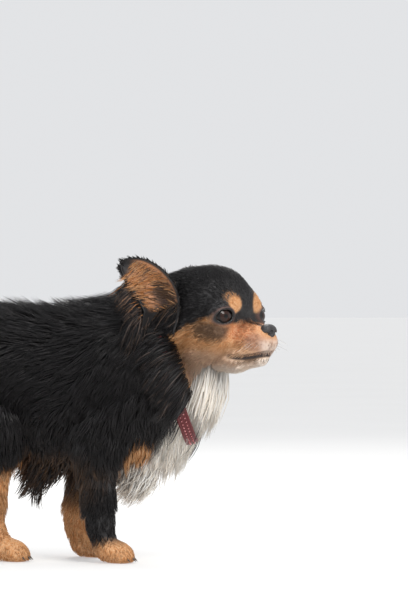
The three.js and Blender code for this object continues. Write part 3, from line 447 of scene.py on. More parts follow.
def face_marks(h):
    """The tan of cheeks, muzzle and brows, its redness, the pale chin, the brown and the whisker pads."""
    p, q, r = h[:, 0], np.abs(h[:, 1]), h[:, 2]
    wobble = 0.8 * np.sin(0.5 * p + 0.3 * r) + 0.6 * np.sin(0.9 * r - 0.2 * p)
    back = -34 - 9 * smooth_step(-25, -13, r)
    top = np.minimum(-13.6 + (p + 43) * 0.33, 0)
    cheek = smooth_step(-2, 2, top - r + wobble) * smooth_step(-2.5, 2.5, p - back + wobble)
    cheek *= 1 - smooth_step(-7, -4, r) * smooth_step(-3, 5, p)
    bridge = smooth_step(6.5, 3.5, q + 0.1 * np.maximum(p - 12, 0)) * smooth_step(-12, -8, r)
    muzzle = smooth_step(4, 12, p) * smooth_step(-4.5, -8, r + 0.1 * wobble)
    pip = smooth_step(1.15, 0.75, np.hypot((q - 15.5) / 7.6, (r - 9.5) / 7)) * smooth_step(-9, -3, p)
    tan = np.maximum(np.maximum(cheek, muzzle), pip) * (1 - 0.85 * bridge)
    red = smooth_step(18, 4, np.hypot(p - 14, (r + 12) * 1.3))
    low = smooth_step(-22, -31, r + 0.1 * (p - 5)) * smooth_step(-36, -20, p)
    front = smooth_step(26, 34, p + 0.5 * wobble) * smooth_step(-15, -23, r)
    lips = smooth_step(3.4, 1.2, np.abs(r - mouth_line(p) + 0.8)) * smooth_step(2, 16, p)
    under_jaw = smooth_step(-2, -8, r - mouth_line(p))
    chin = smooth_step(16, 28, p) * smooth_step(0, -3, r - mouth_line(p))
    pale = np.clip(0.4 * low * under_jaw + 0.25 * low + 0.5 * front + 0.2 * chin, 0, 1) * (1 - lips)
    under_eye = smooth_step(1.3, 0.6, np.hypot((p + 3 + 0.6 * (r + 11)) / 15, (r + 11) / 7.5))
    smudge = np.maximum(under_eye * smooth_step(18, 24, q), lips)
    pad = smooth_step(12, 5, np.hypot(p - 26, (r + 21) * 1.1)) * smooth_step(-29.5, -27, r)
    return {"tan": tan, "red": red, "pale": pale, "smudge": 0.85 * smudge, "pad": pad}


def nearest_on_tail(points):
    """The number of the tail's joint nearest to each point, and the way ahead there."""
    nearest = np.argmin(((points[:, None] - TAIL[None]) ** 2).sum(2), axis=1)
    return nearest, unit(np.gradient(TAIL, axis=0))[nearest]


def tail_under(b):
    """The tan underside of the tail, which faces back and then up as the tail curls forward."""
    nearest, ahead = nearest_on_tail(b)
    outer = np.column_stack([-ahead[:, 2], 0 * ahead[:, 0], ahead[:, 0]])
    facing = (unit(b - TAIL[nearest]) * outer).sum(1)
    return 0.9 * smooth_step(0.35, 0.8, facing) * (b[:, 0] < -150) * smooth_step(176, 186, b[:, 2])


# The tan patch on each side of the breast, and the brown of the belly behind the elbow
BREAST_PATCH_AT, BREAST_PATCH_R = np.array([33, 30, 82]), np.array([15, 13, 27])
BELLY_BROWN_AT, BELLY_BROWN_R = np.array([-30, 74]), np.array([40, 24])


def body_marks(b):
    """The white of the chest, the tan of breast, legs, vent and tail, and the brown of the belly."""
    x, y, z = b[:, 0], b[:, 1], b[:, 2]
    wobble = 3 * np.sin(0.13 * z + 0.11 * x) + 2 * np.sin(0.21 * x - 0.17 * z)
    front = smooth_step(8, 22, x - 0.18 * (z - 100))
    strip = smooth_step(21, 14, np.abs(y + 1) + 0.5 * wobble) * front
    strip = strip * smooth_step(40, 60, z) * smooth_step(140, 122, z)
    folded = np.column_stack([x, np.abs(y), z])
    patch = smooth_step(1.2, 0.8, np.linalg.norm((folded - BREAST_PATCH_AT) / BREAST_PATCH_R, axis=1))
    fore = (x > -60) & (x < 60)
    right_tan = smooth_step(22, 12, z) + smooth_step(-24, -20, y)
    fore_tan = np.where(y < 0, right_tan, 1.0) * smooth_step(98, 82, z)
    hind_tan = smooth_step(88, 72, z + wobble) + smooth_step(118, 100, z) * smooth_step(30, 22, np.abs(y))
    legs = np.where(fore, fore_tan * smooth_step(13, 20, np.abs(y)), hind_tan)
    legs = legs * smooth_step(140, 120, z)
    vent = smooth_step(24, 14, np.abs(y)) * smooth_step(-176, -184, x) * smooth_step(165, 150, z)
    tan = np.clip(np.maximum.reduce([patch, np.clip(legs, 0, 1), vent, tail_under(b)]), 0, 1)
    behind_elbow = (z > 62) & (x < -14) & (x > -70)
    tan = tan * np.where(behind_elbow, 0.15, 1)
    from_belly = np.linalg.norm((b[:, [0, 2]] - BELLY_BROWN_AT) / BELLY_BROWN_R, axis=1)
    brown = 0.8 * smooth_step(1.2, 0.5, from_belly)
    return {"tan": tan, "red": 0 * x, "pale": np.clip(strip, 0, 1), "smudge": brown, "pad": 0 * x}


# Planes where the head's coat ends and where the neck's ends: a point of each, and the way ahead
HEAD_CUT = (from_head([-62, 0, -10]), turn_from_head([0.6, 0, 0.8]))
NECK_CUT = (np.array([28.0, 0, 165]), np.array([0.66, 0, 0.75]))


def beyond(cut, points):
    return (points - cut[0]) @ cut[1]


def marks_at(points):
    """The same markings for the skin and for every tuft."""
    h = to_head(points)
    face, body = face_marks(h), body_marks(points)
    # the face's markings end at the throat, where the white of the bib takes over
    ahead = smooth_step(-50, -40, h[:, 0])
    share = smooth_step(-48, -40, h[:, 0]) * smooth_step(-56, -50, h[:, 2])
    bib = smooth_step(15, 10, np.abs(h[:, 1])) * smooth_step(-37, -43, h[:, 2]) * ahead
    mixed = {name: lerp(body[name], face[name], share) for name in face}
    neck_front = smooth_step(20, 12, np.abs(points[:, 1] + 10)) * smooth_step(38, 54, points[:, 0])
    neck_front *= smooth_step(158, 148, points[:, 2]) * smooth_step(0.5, 0, share)
    mixed["pale"] = np.maximum.reduce([mixed["pale"], bib, neck_front])
    return mixed


# Shaders
class Socket:
    """A shader socket that takes part in arithmetic."""

    def __init__(self, shader, link):
        self.shader = shader
        self.link = link

    def __add__(self, other):
        return self.shader.math("ADD", self, other)

    __radd__ = __add__

    def __mul__(self, other):
        return self.shader.math("MULTIPLY", self, other)

    __rmul__ = __mul__


class Shader:
    """One material and the nodes it is made of."""

    def __init__(self, name):
        self.material = bpy.data.materials.new(name)
        self.material.use_nodes = True
        self.tree = self.material.node_tree
        self.tree.nodes.clear()

    def node(self, kind, settings, sockets, output=0):
        made = self.tree.nodes.new(kind)
        for key, value in settings.items():
            setattr(made, key, value)
        for key, value in sockets.items():
            if isinstance(value, Socket):
                self.tree.links.new(value.link, made.inputs[key])
            else:
                made.inputs[key].default_value = value
        return None if output is None else Socket(self, made.outputs[output])

    def math(self, operation, *values):
        return self.node("ShaderNodeMath", {"operation": operation}, dict(enumerate(values)))

    def attribute(self, name):
        return self.node("ShaderNodeAttribute", {"attribute_name": name}, {}, "Fac")

    def place(self):
        return self.node("ShaderNodeTexCoord", {}, {}, "Object")

    def noise(self, vector, scale, detail=3.0):
        sockets = {"Vector": vector, "Scale": scale, "Detail": detail}
        return self.node("ShaderNodeTexNoise", {}, sockets, "Fac")

    def cells(self, vector, scale):
        return self.node("ShaderNodeTexVoronoi", {}, {"Vector": vector, "Scale": scale}, "Distance")

    def step(self, value, low, high, bottom=0.0, top=1.0):
        sockets = {"Value": value, "From Min": low, "From Max": high, "To Min": bottom, "To Max": top}
        return self.node("ShaderNodeMapRange", {"interpolation_type": "SMOOTHSTEP"}, sockets)

    def join(self, x, y, z):
        return self.node("ShaderNodeCombineXYZ", {}, {"X": x, "Y": y, "Z": z})

    def mix(self, factor, a, b, blend_type="MIX"):
        settings = {"data_type": "RGBA", "blend_type": blend_type}
        return self.node("ShaderNodeMix", settings, {0: factor, 6: a, 7: b}, 2)

    def bump(self, height, strength, distance):
        sockets = {"Height": height, "Strength": strength, "Distance": distance}
        return self.node("ShaderNodeBump", {}, sockets, "Normal")

    def finish(self, **sockets):
        named = {key.replace("_", " "): value for key, value in sockets.items()}
        surface = self.node("ShaderNodeBsdfPrincipled", {}, named)
        self.node("ShaderNodeOutputMaterial", {}, {"Surface": surface}, None)
        return self.material


def colour(name):
    return tuple(getattr(bpy.context.scene.chihuahua_colours, name))


def coat_colour(shader, shade):
    """The markings, from the attributes that skin and tufts share; shade varies each colour a little."""
    black = shader.mix(shade, colour("black"), colour("black_light"))
    tan = shader.mix(shader.attribute("red"), colour("tan"), colour("red_tan"))
    tan = shader.mix(shade * 0.4, tan, colour("cream"))
    pale = shader.mix(shade * 0.35, colour("white"), colour("cream"))
    mixed = shader.mix(shader.attribute("tan"), black, tan)
    # The brown carries both the real brown in the black coat and the painted shade of the ears' hollows
    brown = shader.mix(shade, colour("black_light"), colour("smudge"))
    mixed = shader.mix(shader.attribute("smudge"), mixed, brown)
    mixed = shader.mix(shader.attribute("pad") * 0.6, mixed, colour("whisker_pad"))
    return shader.mix(shader.attribute("pale"), mixed, pale)


def fur_material():
    shader = Shader("fur")
    hair, along, across = (shader.attribute(name) for name in ("hair", "along", "across"))
    streak = shader.noise(shader.join(across * 2.5 + hair * 40, along * 1.5, hair * 90), 1.0, 2.0)
    shade = shader.step(hair * 0.6 + streak * 0.6 + along * 0.15, 0.35, 1.05)
    coat = coat_colour(shader, shade)
    # Painted shade: each tuft's colour is darkened towards its root, to 0.6 of it at the root and full from
    # halfway along
    depth = shader.step(along, 0.0, 0.5, 0.6, 1.0)
    shadowed = shader.mix(1.0, coat, shader.join(depth, depth, depth), "MULTIPLY")
    wisp = shader.mix(streak, colour("wisp"), colour("wisp_light"))
    worn = shader.mix(shader.attribute("wisp"), shadowed, wisp)
    return shader.finish(Base_Color=worn, Roughness=0.36, Specular_IOR_Level=0.3)


def skin_material():
    shader = Shader("skin")
    place = shader.place()
    grain = shader.noise(place, 900.0, 4.0)
    coat = coat_colour(shader, shader.step(grain, 0.3, 0.7))
    bare = shader.mix(grain, colour("lid_skin"), colour("lid_dark"))
    lid = shader.mix(shader.attribute("lid"), coat, bare)
    lip = shader.mix(shader.attribute("mouth"), lid, colour("lip"))
    dark = shader.mix(shader.attribute("rim"), lip, colour("eye_rim"))
    roughness = shader.step(shader.attribute("rim"), 0.3, 1.0, 0.62, 0.28)
    folds = shader.cells(place, 620.0) * 0.5 + grain
    return shader.finish(Base_Color=dark, Roughness=roughness, Normal=shader.bump(folds, 0.35, 0.0006))


def ear_material():
    shader = Shader("ear_skin")
    place = shader.place()
    grain = shader.noise(place, 500.0, 4.0)
    inner, hollow = shader.attribute("inner"), shader.attribute("hollow")
    lining = shader.mix(grain, colour("tan"), colour("ear_skin"))
    # Painted shade: the lining turns dark brown in the ear's hollow
    lining = shader.mix(hollow, lining, colour("ear_hollow"))
    back = shader.mix(grain, colour("black"), colour("black_light"))
    veins = shader.cells(place, 300.0)
    both = shader.mix(inner, back, lining)
    return shader.finish(Base_Color=both, Roughness=0.6, Normal=shader.bump(veins + grain, 0.3, 0.0008))


def eye_material():
    shader = Shader("eye")
    angle = shader.attribute("angle")
    fibre = shader.noise(shader.join(shader.attribute("spin"), angle * 3, 0.0), 14.0, 3.0)
    iris = shader.mix(fibre, colour("iris"), colour("iris_light"))
    iris = shader.mix(shader.step(angle, 0.16, 0.2), (0.001, 0.001, 0.001, 1), iris)
    limbus = shader.mix(shader.step(angle, 0.44, 0.58), iris, (0.004, 0.003, 0.003, 1))
    white = shader.mix(shader.step(angle, 0.72, 0.95), limbus, colour("eye_white"))
    wet = {"Coat_Weight": 0.45, "Coat_Roughness": 0.02}
    return shader.finish(Base_Color=white, Roughness=0.35, Specular_IOR_Level=0.1, **wet)


def nose_material():
    shader = Shader("nose_leather")
    place = shader.place()
    cells = shader.cells(place, 1300.0)
    fine = shader.noise(place, 1500.0, 3.0)
    # Painted shade: the leather is darker where the cell pattern is low, which are also the low spots of its
    # bump
    base = shader.mix(shader.step(cells, 0.1, 0.7), colour("nose_crease_shade"), colour("nose"))
    roughness = shader.step(fine, 0.3, 0.7, 0.3, 0.5)
    pebbles = shader.bump(cells + fine * 0.3, 0.5, 0.0004)
    return shader.finish(Base_Color=base, Roughness=roughness, Normal=pebbles)


def claw_material():
    shader = Shader("claw")
    along = shader.attribute("along")
    grain = shader.noise(shader.place(), 1200.0, 3.0)
    base = shader.mix(shader.step(along + grain * 0.3, 0.4, 1.2), colour("claw_dark"), colour("claw"))
    return shader.finish(Base_Color=base, Roughness=0.32, Normal=shader.bump(grain, 0.2, 0.0002))


def band_material():
    shader = Shader("collar_band")
    place = shader.place()
    weave = shader.noise(place, 2200.0, 2.0)
    base = shader.mix(weave, colour("band_dark"), colour("band"))
    return shader.finish(Base_Color=base, Roughness=0.55, Normal=shader.bump(weave, 0.4, 0.0003))


def stud_material():
    shader = Shader("collar_stud")
    tone = shader.noise(shader.place(), 900.0, 2.0)
    # Painted glint: noise mixes the stud's red towards a lighter glint colour
    base = shader.mix(tone, colour("stud"), colour("stud_light"))
    return shader.finish(Base_Color=base, Roughness=0.12, Metallic=0.9)


def floor_material():
    shader = Shader("floor")
    tone = shader.noise(shader.place(), 3.0, 4.0)
    base = shader.mix(tone, (0.56, 0.555, 0.54, 1), (0.60, 0.595, 0.58, 1))
    glow = {"Emission_Color": PALE_SKY, "Emission_Strength": FLOOR_GLOW}
    return shader.finish(Base_Color=base, Roughness=0.85, **glow)


# Tufts
# How wide each ring of a tuft is, of its width, by how many rings it has
RING_WIDE = {2: [0.95, 0.8], 3: [0.85, 1.0, 0.72], 4: [0.8, 1.0, 0.9, 0.6]}
TUFT_THICK = 0.4  # of its width
STEPS = 8


def ring_steps(rings):
    """Which steps of a path carry a ring: the last one is the tip."""
    return [round(i * STEPS / rings) for i in range(rings)] + [STEPS]


def tuft_mesh(paths, normals, widths, rings):
    """Closed tapered blades of three sides, along paths of STEPS + 1 points."""
    count = len(paths)
    steps = ring_steps(rings)
    points = np.empty((count, 3 * rings + 1, 3))
    along = np.empty((count, 3 * rings + 1))
    across = np.zeros((count, 3 * rings + 1))
    for k, step in enumerate(steps[:-1]):
        ahead = unit(paths[:, step + 1] - paths[:, max(step - 1, 0)])
        side = unit(np.cross(ahead, normals))
        out = np.cross(side, ahead)
        half = (widths * RING_WIDE[rings][k] / 2)[:, None]
        points[:, 3 * k] = paths[:, step] + side * half
        points[:, 3 * k + 1] = paths[:, step] + out * half * 2 * TUFT_THICK
        points[:, 3 * k + 2] = paths[:, step] - side * half
        along[:, 3 * k : 3 * k + 3] = step / STEPS
        across[:, 3 * k] = 1.0
        across[:, 3 * k + 2] = -1.0
    points[:, -1] = paths[:, STEPS]
    along[:, -1] = 1.0
    faces = [[0, 1, 2]]
    for k in range(rings - 1):
        for m in range(3):
            a, b = 3 * k + m, 3 * k + (m + 1) % 3
            faces += [[a, b + 3, b], [a, a + 3, b + 3]]
    rim = 3 * (rings - 1)
    faces += [[rim + m, rim + 3, rim + (m + 1) % 3] for m in range(3)]
    faces = np.array(faces)
    size = 3 * rings + 1
    every = (faces[None] + (np.arange(count) * size)[:, None, None]).reshape(-1, 3)
    return points.reshape(-1, 3), every, along.ravel(), across.ravel(), size


BACK_LIFT = 0.7  # how much higher the coat stands along the back
REACH = (0.9, 1.06)  # the least and the most of its share of the depth that a tuft's tip keeps
HAIRS_TO_A_LOCK = 14
ABOVE_FLOOR = 0.6  # the least height of a tuft's path
MARK_BLUR = 0.7  # how far markings stray from root to root
UV_MARGIN = 0.004
TUFT_IN_UV = 0.0015  # half the size of a tuft in its bake map


def grow(roots, lengths, level, sway):
    """Paths that leave the skin and follow the lie, up to their share of the coat's depth."""
    on_torso = torso_form(roots) < whole_form(roots) + 2
    paths, normals = np.empty((len(roots), STEPS + 1, 3)), np.empty(roots.shape)
    for chosen, form in ((on_torso, torso_form), (~on_torso, whole_form)):
        if chosen.any():
            grown = grow_on(form, roots[chosen], lengths[chosen], level[chosen], sway[chosen])
            paths[chosen], normals[chosen] = grown
    return paths, normals


def grow_on(form, roots, lengths, level, sway):
    """The paths over one form, and the form's normals at their roots."""
    first = unit(slope(form, roots))
    lift = BACK_LIFT * smooth_step(0.5, 0.95, first[:, 2]) * smooth_step(170, 182, roots[:, 2])
    depth = coat_at(roots)[1] * (1 + lift)
    p = roots - first * SINK
    path, step = [p], lengths / STEPS
    for i in range(1, STEPS + 1):
        share = i / STEPS
        lie = coat_at(p)[0]
        p = p + unit(unit(lie) + sway) * step[:, None]
        here, normal = form(p), unit(slope(form, p))
        low = lerp(SKIN_SHARE * depth - SINK, REACH[0] * level * depth, share)
        high = lerp(SKIN_SHARE * depth, REACH[1] * level * depth, math.sqrt(share))
        move = np.clip(np.clip(here, low, high) - here, -step, step)
        p = p + normal * move[:, None]
        p[:, 2] = np.maximum(p[:, 2], ABOVE_FLOOR)
        path.append(p)
    return np.stack(path, 1), first


def gathered(paths, every, pull, stay=0.25):
    """Draws each path's tip towards the nearest of the leading paths, as hair clings in locks."""
    count = len(paths)
    leaders = np.arange(0, count, every)
    tree = KDTree(len(leaders))
    for i, leader in enumerate(leaders):
        tree.insert(paths[leader, 0], i)
    tree.balance()
    nearest = np.array([leaders[tree.find(p)[1]] for p in paths[:, 0]])
    share = (np.linspace(0, 1, STEPS + 1) ** 1.5)[None, :, None] * pull
    target = paths[nearest] + stay * (paths[:, :1] - paths[nearest][:, :1])
    return lerp(paths, target, share), nearest


def waved(paths, normals, nearest, size, turns=1.3):
    """A sideways wave, the same for all the hairs of a lock."""
    phase = np.modf(nearest * 0.618)[0][:, None] * 2 * math.pi
    share = np.linspace(0, 1, STEPS + 1)[None]
    length = np.linalg.norm(paths[:, -1] - paths[:, 0], axis=1)[:, None]
    side = unit(np.cross(unit(paths[:, -1] - paths[:, 0]), normals))
    wave = size * length * share * np.sin(2 * math.pi * turns * share + phase)
    return paths + wave[:, :, None] * side[:, None]


def free_paths(roots, way, turn_to, lengths):
    """Hair that leaves its root one way and turns another, such as down."""
    way, turn_to = np.broadcast_to(way, roots.shape), np.broadcast_to(turn_to, roots.shape)
    p, path = roots, [roots]
    for i in range(1, STEPS + 1):
        ahead = unit(lerp(unit(way), unit(turn_to), i / STEPS))
        p = p + ahead * (lengths / STEPS)[:, None]
        path.append(p)
    return np.stack(path, 1)


def coat_piece(name, paths, normals, widths, rings, unwrap, extra=None):
    """One coat piece, with the markings at its roots and its bake map."""
    points, faces, along, across, size = tuft_mesh(paths, normals, widths, rings)
    piece = mesh_object(name, points, faces, shared_material("fur"))
    roots = paths[:, 0]
    marks = marks_at(roots + random.normal(0, MARK_BLUR, roots.shape))
    marks["hair"] = random.random(len(roots))
    marks["wisp"] = np.zeros(len(roots))
    marks.update(extra or {})
    values = {key: np.repeat(value, size) for key, value in marks.items()}
    set_floats(piece.data, {**values, "along": along, "across": across})
    flat = unwrap(roots)
    span = np.maximum(flat.max(0) - flat.min(0), 1e-6)
    flat = UV_MARGIN + (1 - 2 * UV_MARGIN) * (flat - flat.min(0)) / span
    spot = np.repeat(flat, size, axis=0) + TUFT_IN_UV * np.column_stack([across, 2 * along - 1])
    layer = piece.data.uv_layers.new(name="OFBake")
    layer.data.foreach_set("uv", spot[faces.ravel()].astype(np.float32).ravel())
    print(name, len(roots), "tufts", len(faces), "triangles")
    return piece


def unwrap_round(axis, centre):
    """Round a limb or the trunk: the angle about an axis, and the place along it."""
    others = [k for k in range(3) if k != axis]

    def flat(points):
        d = points - np.array(centre, float)
        return np.column_stack([np.arctan2(d[:, others[0]], d[:, others[1]]), d[:, axis]])

    return flat


def unwrap_head(points):
    return unwrap_round(0, [-10, 0, -8])(to_head(points))


unwrap_neck = unwrap_round(0, [60, 0, 160])


def unwrap_tail(points):
    nearest, ahead = nearest_on_tail(points)
    d = points - TAIL[nearest]
    turn = np.arctan2(d[:, 1], np.cross(ahead, d)[:, 1])
    return np.column_stack([turn, nearest + (d * ahead).sum(1) / 40])


materials = {}


def shared_material(name):
    if name not in materials:
        materials[name] = MATERIALS[name]()
    return materials[name]


MATERIALS = {
    "fur": fur_material,
    "skin": skin_material,
    "ear": ear_material,
    "eye": eye_material,
    "nose": nose_material,
    "claw": claw_material,
    "band": band_material,
    "stud": stud_material,
    "floor": floor_material,
}


# Skin
SKIN_LOW = [-250, -90, -3]
SKIN_HIGH = [150, 90, 285]
FLESH_NODES = [
    "head", "jaw", "neck", "chest", "loin", "rump", "tail_base", "tail_end",
    *[f"fore_{part}_{side}" for side in ("right", "left") for part in ("upper_arm", "forearm", "paw")],
    *[f"hind_{part}_{side}" for side in ("right", "left") for part in ("thigh", "shank", "foot")],
]
MOUTH_CORNER = 1.0
MOUTH_HALF = 30  # half the width of the space in which its line is looked for


def refined(points, quads):
    """Splits every quad in four and each of those in two, and returns points and triangles."""
    bm = bmesh.new()
    for p in points:
        bm.verts.new(p)
    bm.verts.ensure_lookup_table()
    for quad in quads:
        bm.faces.new([bm.verts[i] for i in quad])
    bmesh.ops.subdivide_edges(bm, edges=bm.edges[:], cuts=1, use_grid_fill=True)
    bmesh.ops.triangulate(bm, faces=bm.faces[:])
    return taken_out(bm)


def on_face(points):
    h = to_head(points)
    return (h[:, 0] > -14) & (np.abs(h[:, 1]) < 40) & (h[:, 2] > -46) & (h[:, 2] < 24)


def drawn_onto(field, points, cell, rounds=2):
    """Moves points along the field's slope until they lie on its surface."""
    for _ in range(rounds):
        g = slope(field, points, 0.3)
        move = np.clip(-field(points) / np.maximum((g**2).sum(1), 0.25), -cell, cell)
        points = points + move[:, None] * g
    return points


def ridge(distance, width):
    return np.exp(-((distance / width) ** 2))


def face_folds(points):
    """The line of the mouth, the lips' swell, the groove under the nose and the lids' folds."""
    h = to_head(points)
    near = (h[:, 0] > -12) & (np.abs(h[:, 1]) < 45) & (h[:, 2] > -50) & (h[:, 2] < 30)
    chosen = h[near]
    normal = unit(slope(whole_form, points[near]))
    dr = chosen[:, 2] - mouth_line(chosen[:, 0])
    mouth = ridge(dr, 0.9) * smooth_step(MOUTH_CORNER - 1, MOUTH_CORNER + 2, chosen[:, 0])
    swell = ridge(dr - 3.2, 2.2) * smooth_step(6, 14, chosen[:, 0])
    under_nose = smooth_step(27, 30, chosen[:, 0]) * smooth_step(-16, -19, chosen[:, 2])
    groove = ridge(chosen[:, 1], 0.8) * under_nose
    opening, _ = lid_distance(chosen)
    fold = ridge(opening - 3.2, 0.8) + 0.5 * ridge(opening - 5.6, 0.8)
    push = -0.9 * mouth + 0.25 * swell - 0.4 * groove - 0.45 * fold
    moved = points.copy()
    moved[near] += normal * push[:, None]
    return moved


def skin_marks(points):
    h = to_head(points)
    opening, _ = lid_distance(h)
    dr = h[:, 2] - mouth_line(h[:, 0])
    marks = marks_at(points)
    marks["rim"] = smooth_step(2.0, 1.2, opening)
    marks["lid"] = 0.8 * smooth_step(3.4, 1.8, opening)
    in_front = smooth_step(MOUTH_CORNER - 2, MOUTH_CORNER + 1, h[:, 0]) * (np.abs(h[:, 1]) < MOUTH_HALF)
    marks["mouth"] = smooth_step(2.8, 1.2, np.abs(dr + 0.5)) * in_front
    return marks


class CHIHUAHUA_OT_skin(Operator):
    """One skin for the head, trunk, tail and legs, with the lids and the line of the mouth"""

    bl_idname = "chihuahua.skin"
    bl_label = "Skin"

    def execute(self, context):
        sizes = context.scene.chihuahua_sizes
        cell = sizes.skin_cell
        points, quads = wrap(skin_field, SKIN_LOW, SKIN_HIGH, cell / MM)
        points, faces = refined(points, quads)
        face = on_face(points)
        points[face] = drawn_onto(skin_field, points[face], 0.4)
        points = face_folds(points)
        points[:, 2] = np.maximum(points[:, 2], 0.0)
        skin = mesh_object("skin", points, faces, shared_material("skin"))
        set_floats(skin.data, skin_marks(points))
        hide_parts(*FLESH_NODES)
        print("skin", len(faces), "triangles")
        return {"FINISHED"}


def skin_triangles():
    """The skin's vertices in design millimetres, and its triangles."""
    mesh = bpy.data.objects["skin"].data
    points = np.empty(len(mesh.vertices) * 3, np.float32)
    mesh.vertices.foreach_get("co", points)
    faces = np.empty(len(mesh.loops), np.int32)
    mesh.loops.foreach_get("vertex_index", faces)
    return (points.reshape(-1, 3).astype(float) - SHIFT) / MM, faces.reshape(-1, 3)


# Coat: roots to the square centimetre, a tuft's width in millimetres, its rings,
# how strongly hairs cling in locks, and how far they stray from the lie
COATS = {
    "coat_face": (180, 0.46, 2, 0.3, 0.12),
    "coat_skull": (105, 0.6, 3, 0.3, 0.07),
    "coat_ruff_right": (60, 0.95, 4, 0.7, 0.15),
    "coat_ruff_left": (50, 1.0, 4, 0.7, 0.15),
    "coat_chest_right": (36, 1.15, 3, 0.65, 0.13),
    "coat_chest_left": (30, 1.25, 3, 0.65, 0.13),
    "coat_loin": (33, 1.15, 3, 0.6, 0.12),
    "coat_rump": (26, 1.25, 3, 0.6, 0.12),
    "coat_tail": (45, 1.1, 4, 0.5, 0.13),
    "coat_forelegs": (70, 0.75, 3, 0.35, 0.1),
    "coat_hindlegs": (70, 0.75, 3, 0.35, 0.1),
}
COAT_NAMES = list(COATS)
UNWRAPS = {
    "coat_face": unwrap_head,
    "coat_skull": unwrap_head,
    "coat_ruff_right": unwrap_neck,
    "coat_ruff_left": unwrap_neck,
    "coat_chest_right": unwrap_round(0, [0, 0, 130]),
    "coat_chest_left": unwrap_round(0, [0, 0, 130]),
    "coat_loin": unwrap_round(0, [-80, 0, 140]),
    "coat_rump": unwrap_round(0, [-150, 0, 145]),
    "coat_tail": unwrap_tail,
    "coat_forelegs": unwrap_round(2, [-10, 0, 40]),
    "coat_hindlegs": unwrap_round(2, [-120, 0, 40]),
}
SHANK_TOP = 62
LENGTH_PER_DEPTH = 1.9
LEAST_LENGTH = 2.6
MOST_LENGTH = 60
LENGTH_RANGE = (0.65, 1.1)  # of the length that the depth gives
LEVEL_RANGE = (0.45, 1.0)  # the square of how high a tuft's tip lies, of the coat's depth
WIDTH_RANGE = (0.7, 1.2)  # of the piece's width of tuft
BAND = 6  # millimetres along the body: roots are spread evenly in one band after another


def coat_names_at(points):
    """Which coat piece each root belongs to, as a place in COAT_NAMES."""
    h = to_head(points)
    x, y, z = points[:, 0], points[:, 1], points[:, 2]
    number = COAT_NAMES.index
    chest = np.where(y < 0, number("coat_chest_right"), number("coat_chest_left"))
    found = np.where(x > -45, chest, np.where(x > -112, number("coat_loin"), number("coat_rump")))
    low = z < SHANK_TOP
    legs = np.minimum.reduce([form(points) for form in leg_forms + paw_forms]) < 8
    found = np.where(low & legs & (x > -60), number("coat_forelegs"), found)
    found = np.where(low & legs & (x <= -60), number("coat_hindlegs"), found)
    ruff = np.where(y < 0, number("coat_ruff_right"), number("coat_ruff_left"))
    found = np.where(beyond(NECK_CUT, points) > 0, ruff, found)
    tail = (tail_form(points) < 14) & (x < -150) & (z > 172)
    found = np.where(tail, number("coat_tail"), found)
    on_front = (h[:, 0] > -14) | ((h[:, 2] < -12) & (h[:, 0] > -24))
    face = np.where(on_front, number("coat_face"), number("coat_skull"))
    return np.where(beyond(HEAD_CUT, points) > 0, face, found)


# How far tufts keep from the eyes' openings, the nose, the line of the mouth and the floor
EYE_BARE, NOSE_BARE, MOUTH_BARE, SOLE_BARE = 1.3, 1.2, 1.0, 2.0


def bare(points):
    """Where no tuft grows: the eyes' rims, the nose, the line of the mouth and the soles."""
    h = to_head(points)
    opening, _ = lid_distance(h)
    eye, nose, sole = opening < EYE_BARE, nose_plain(h) < NOSE_BARE, points[:, 2] < SOLE_BARE
    ahead = (h[:, 0] > MOUTH_CORNER) & (np.abs(h[:, 1]) < MOUTH_HALF)
    mouth = (np.abs(h[:, 2] - mouth_line(h[:, 0])) < MOUTH_BARE) & ahead
    return eye | nose | mouth | sole


COLLAR_CENTRE = np.array([51.0, -5, 145])
COLLAR_HALF_LONG = 51
COLLAR_HALF_WIDE = 43
COLLAR_WIDTH = 10
COLLAR_THICK = 3
COLLAR_DOWN = unit(np.array([0.334, -0.05, -0.94]))
COLLAR_AXIS = unit(np.cross(COLLAR_DOWN, [-0.2, 1, 0]))
COLLAR_ACROSS = np.cross(COLLAR_AXIS, COLLAR_DOWN)
COLLAR_SHOWS = (-0.98, -0.42)  # radians round the band, from its lowest point, where hair parts over it


def over_collar(paths):
    """Which paths cross the stretch of the band that shows."""
    d = paths - COLLAR_CENTRE
    a, b, c = d @ COLLAR_DOWN, d @ COLLAR_ACROSS, d @ COLLAR_AXIS
    angle = np.arctan2(b / COLLAR_HALF_WIDE, a / COLLAR_HALF_LONG)
    out = np.hypot(a / COLLAR_HALF_LONG, b / COLLAR_HALF_WIDE) > 0.97
    shown = (angle > COLLAR_SHOWS[0]) & (angle < COLLAR_SHOWS[1])
    return (out & shown & (np.abs(c) < COLLAR_WIDTH / 2 - 1)).any(1)


def spread_evenly(total, count):
    """Which triangle each of many evenly spread spots falls in, given their areas added up."""
    return np.searchsorted(total, (np.arange(count) + random.random(count)) / count * total[-1])


def places_in(a, b, c, pick):
    """A random place in each of the picked triangles."""
    u, v = random.random((2, len(pick)))
    flip = u + v > 1
    u, v = np.where(flip, 1 - u, u)[:, None], np.where(flip, 1 - v, v)[:, None]
    return a[pick] + (b - a)[pick] * u + (c - a)[pick] * v


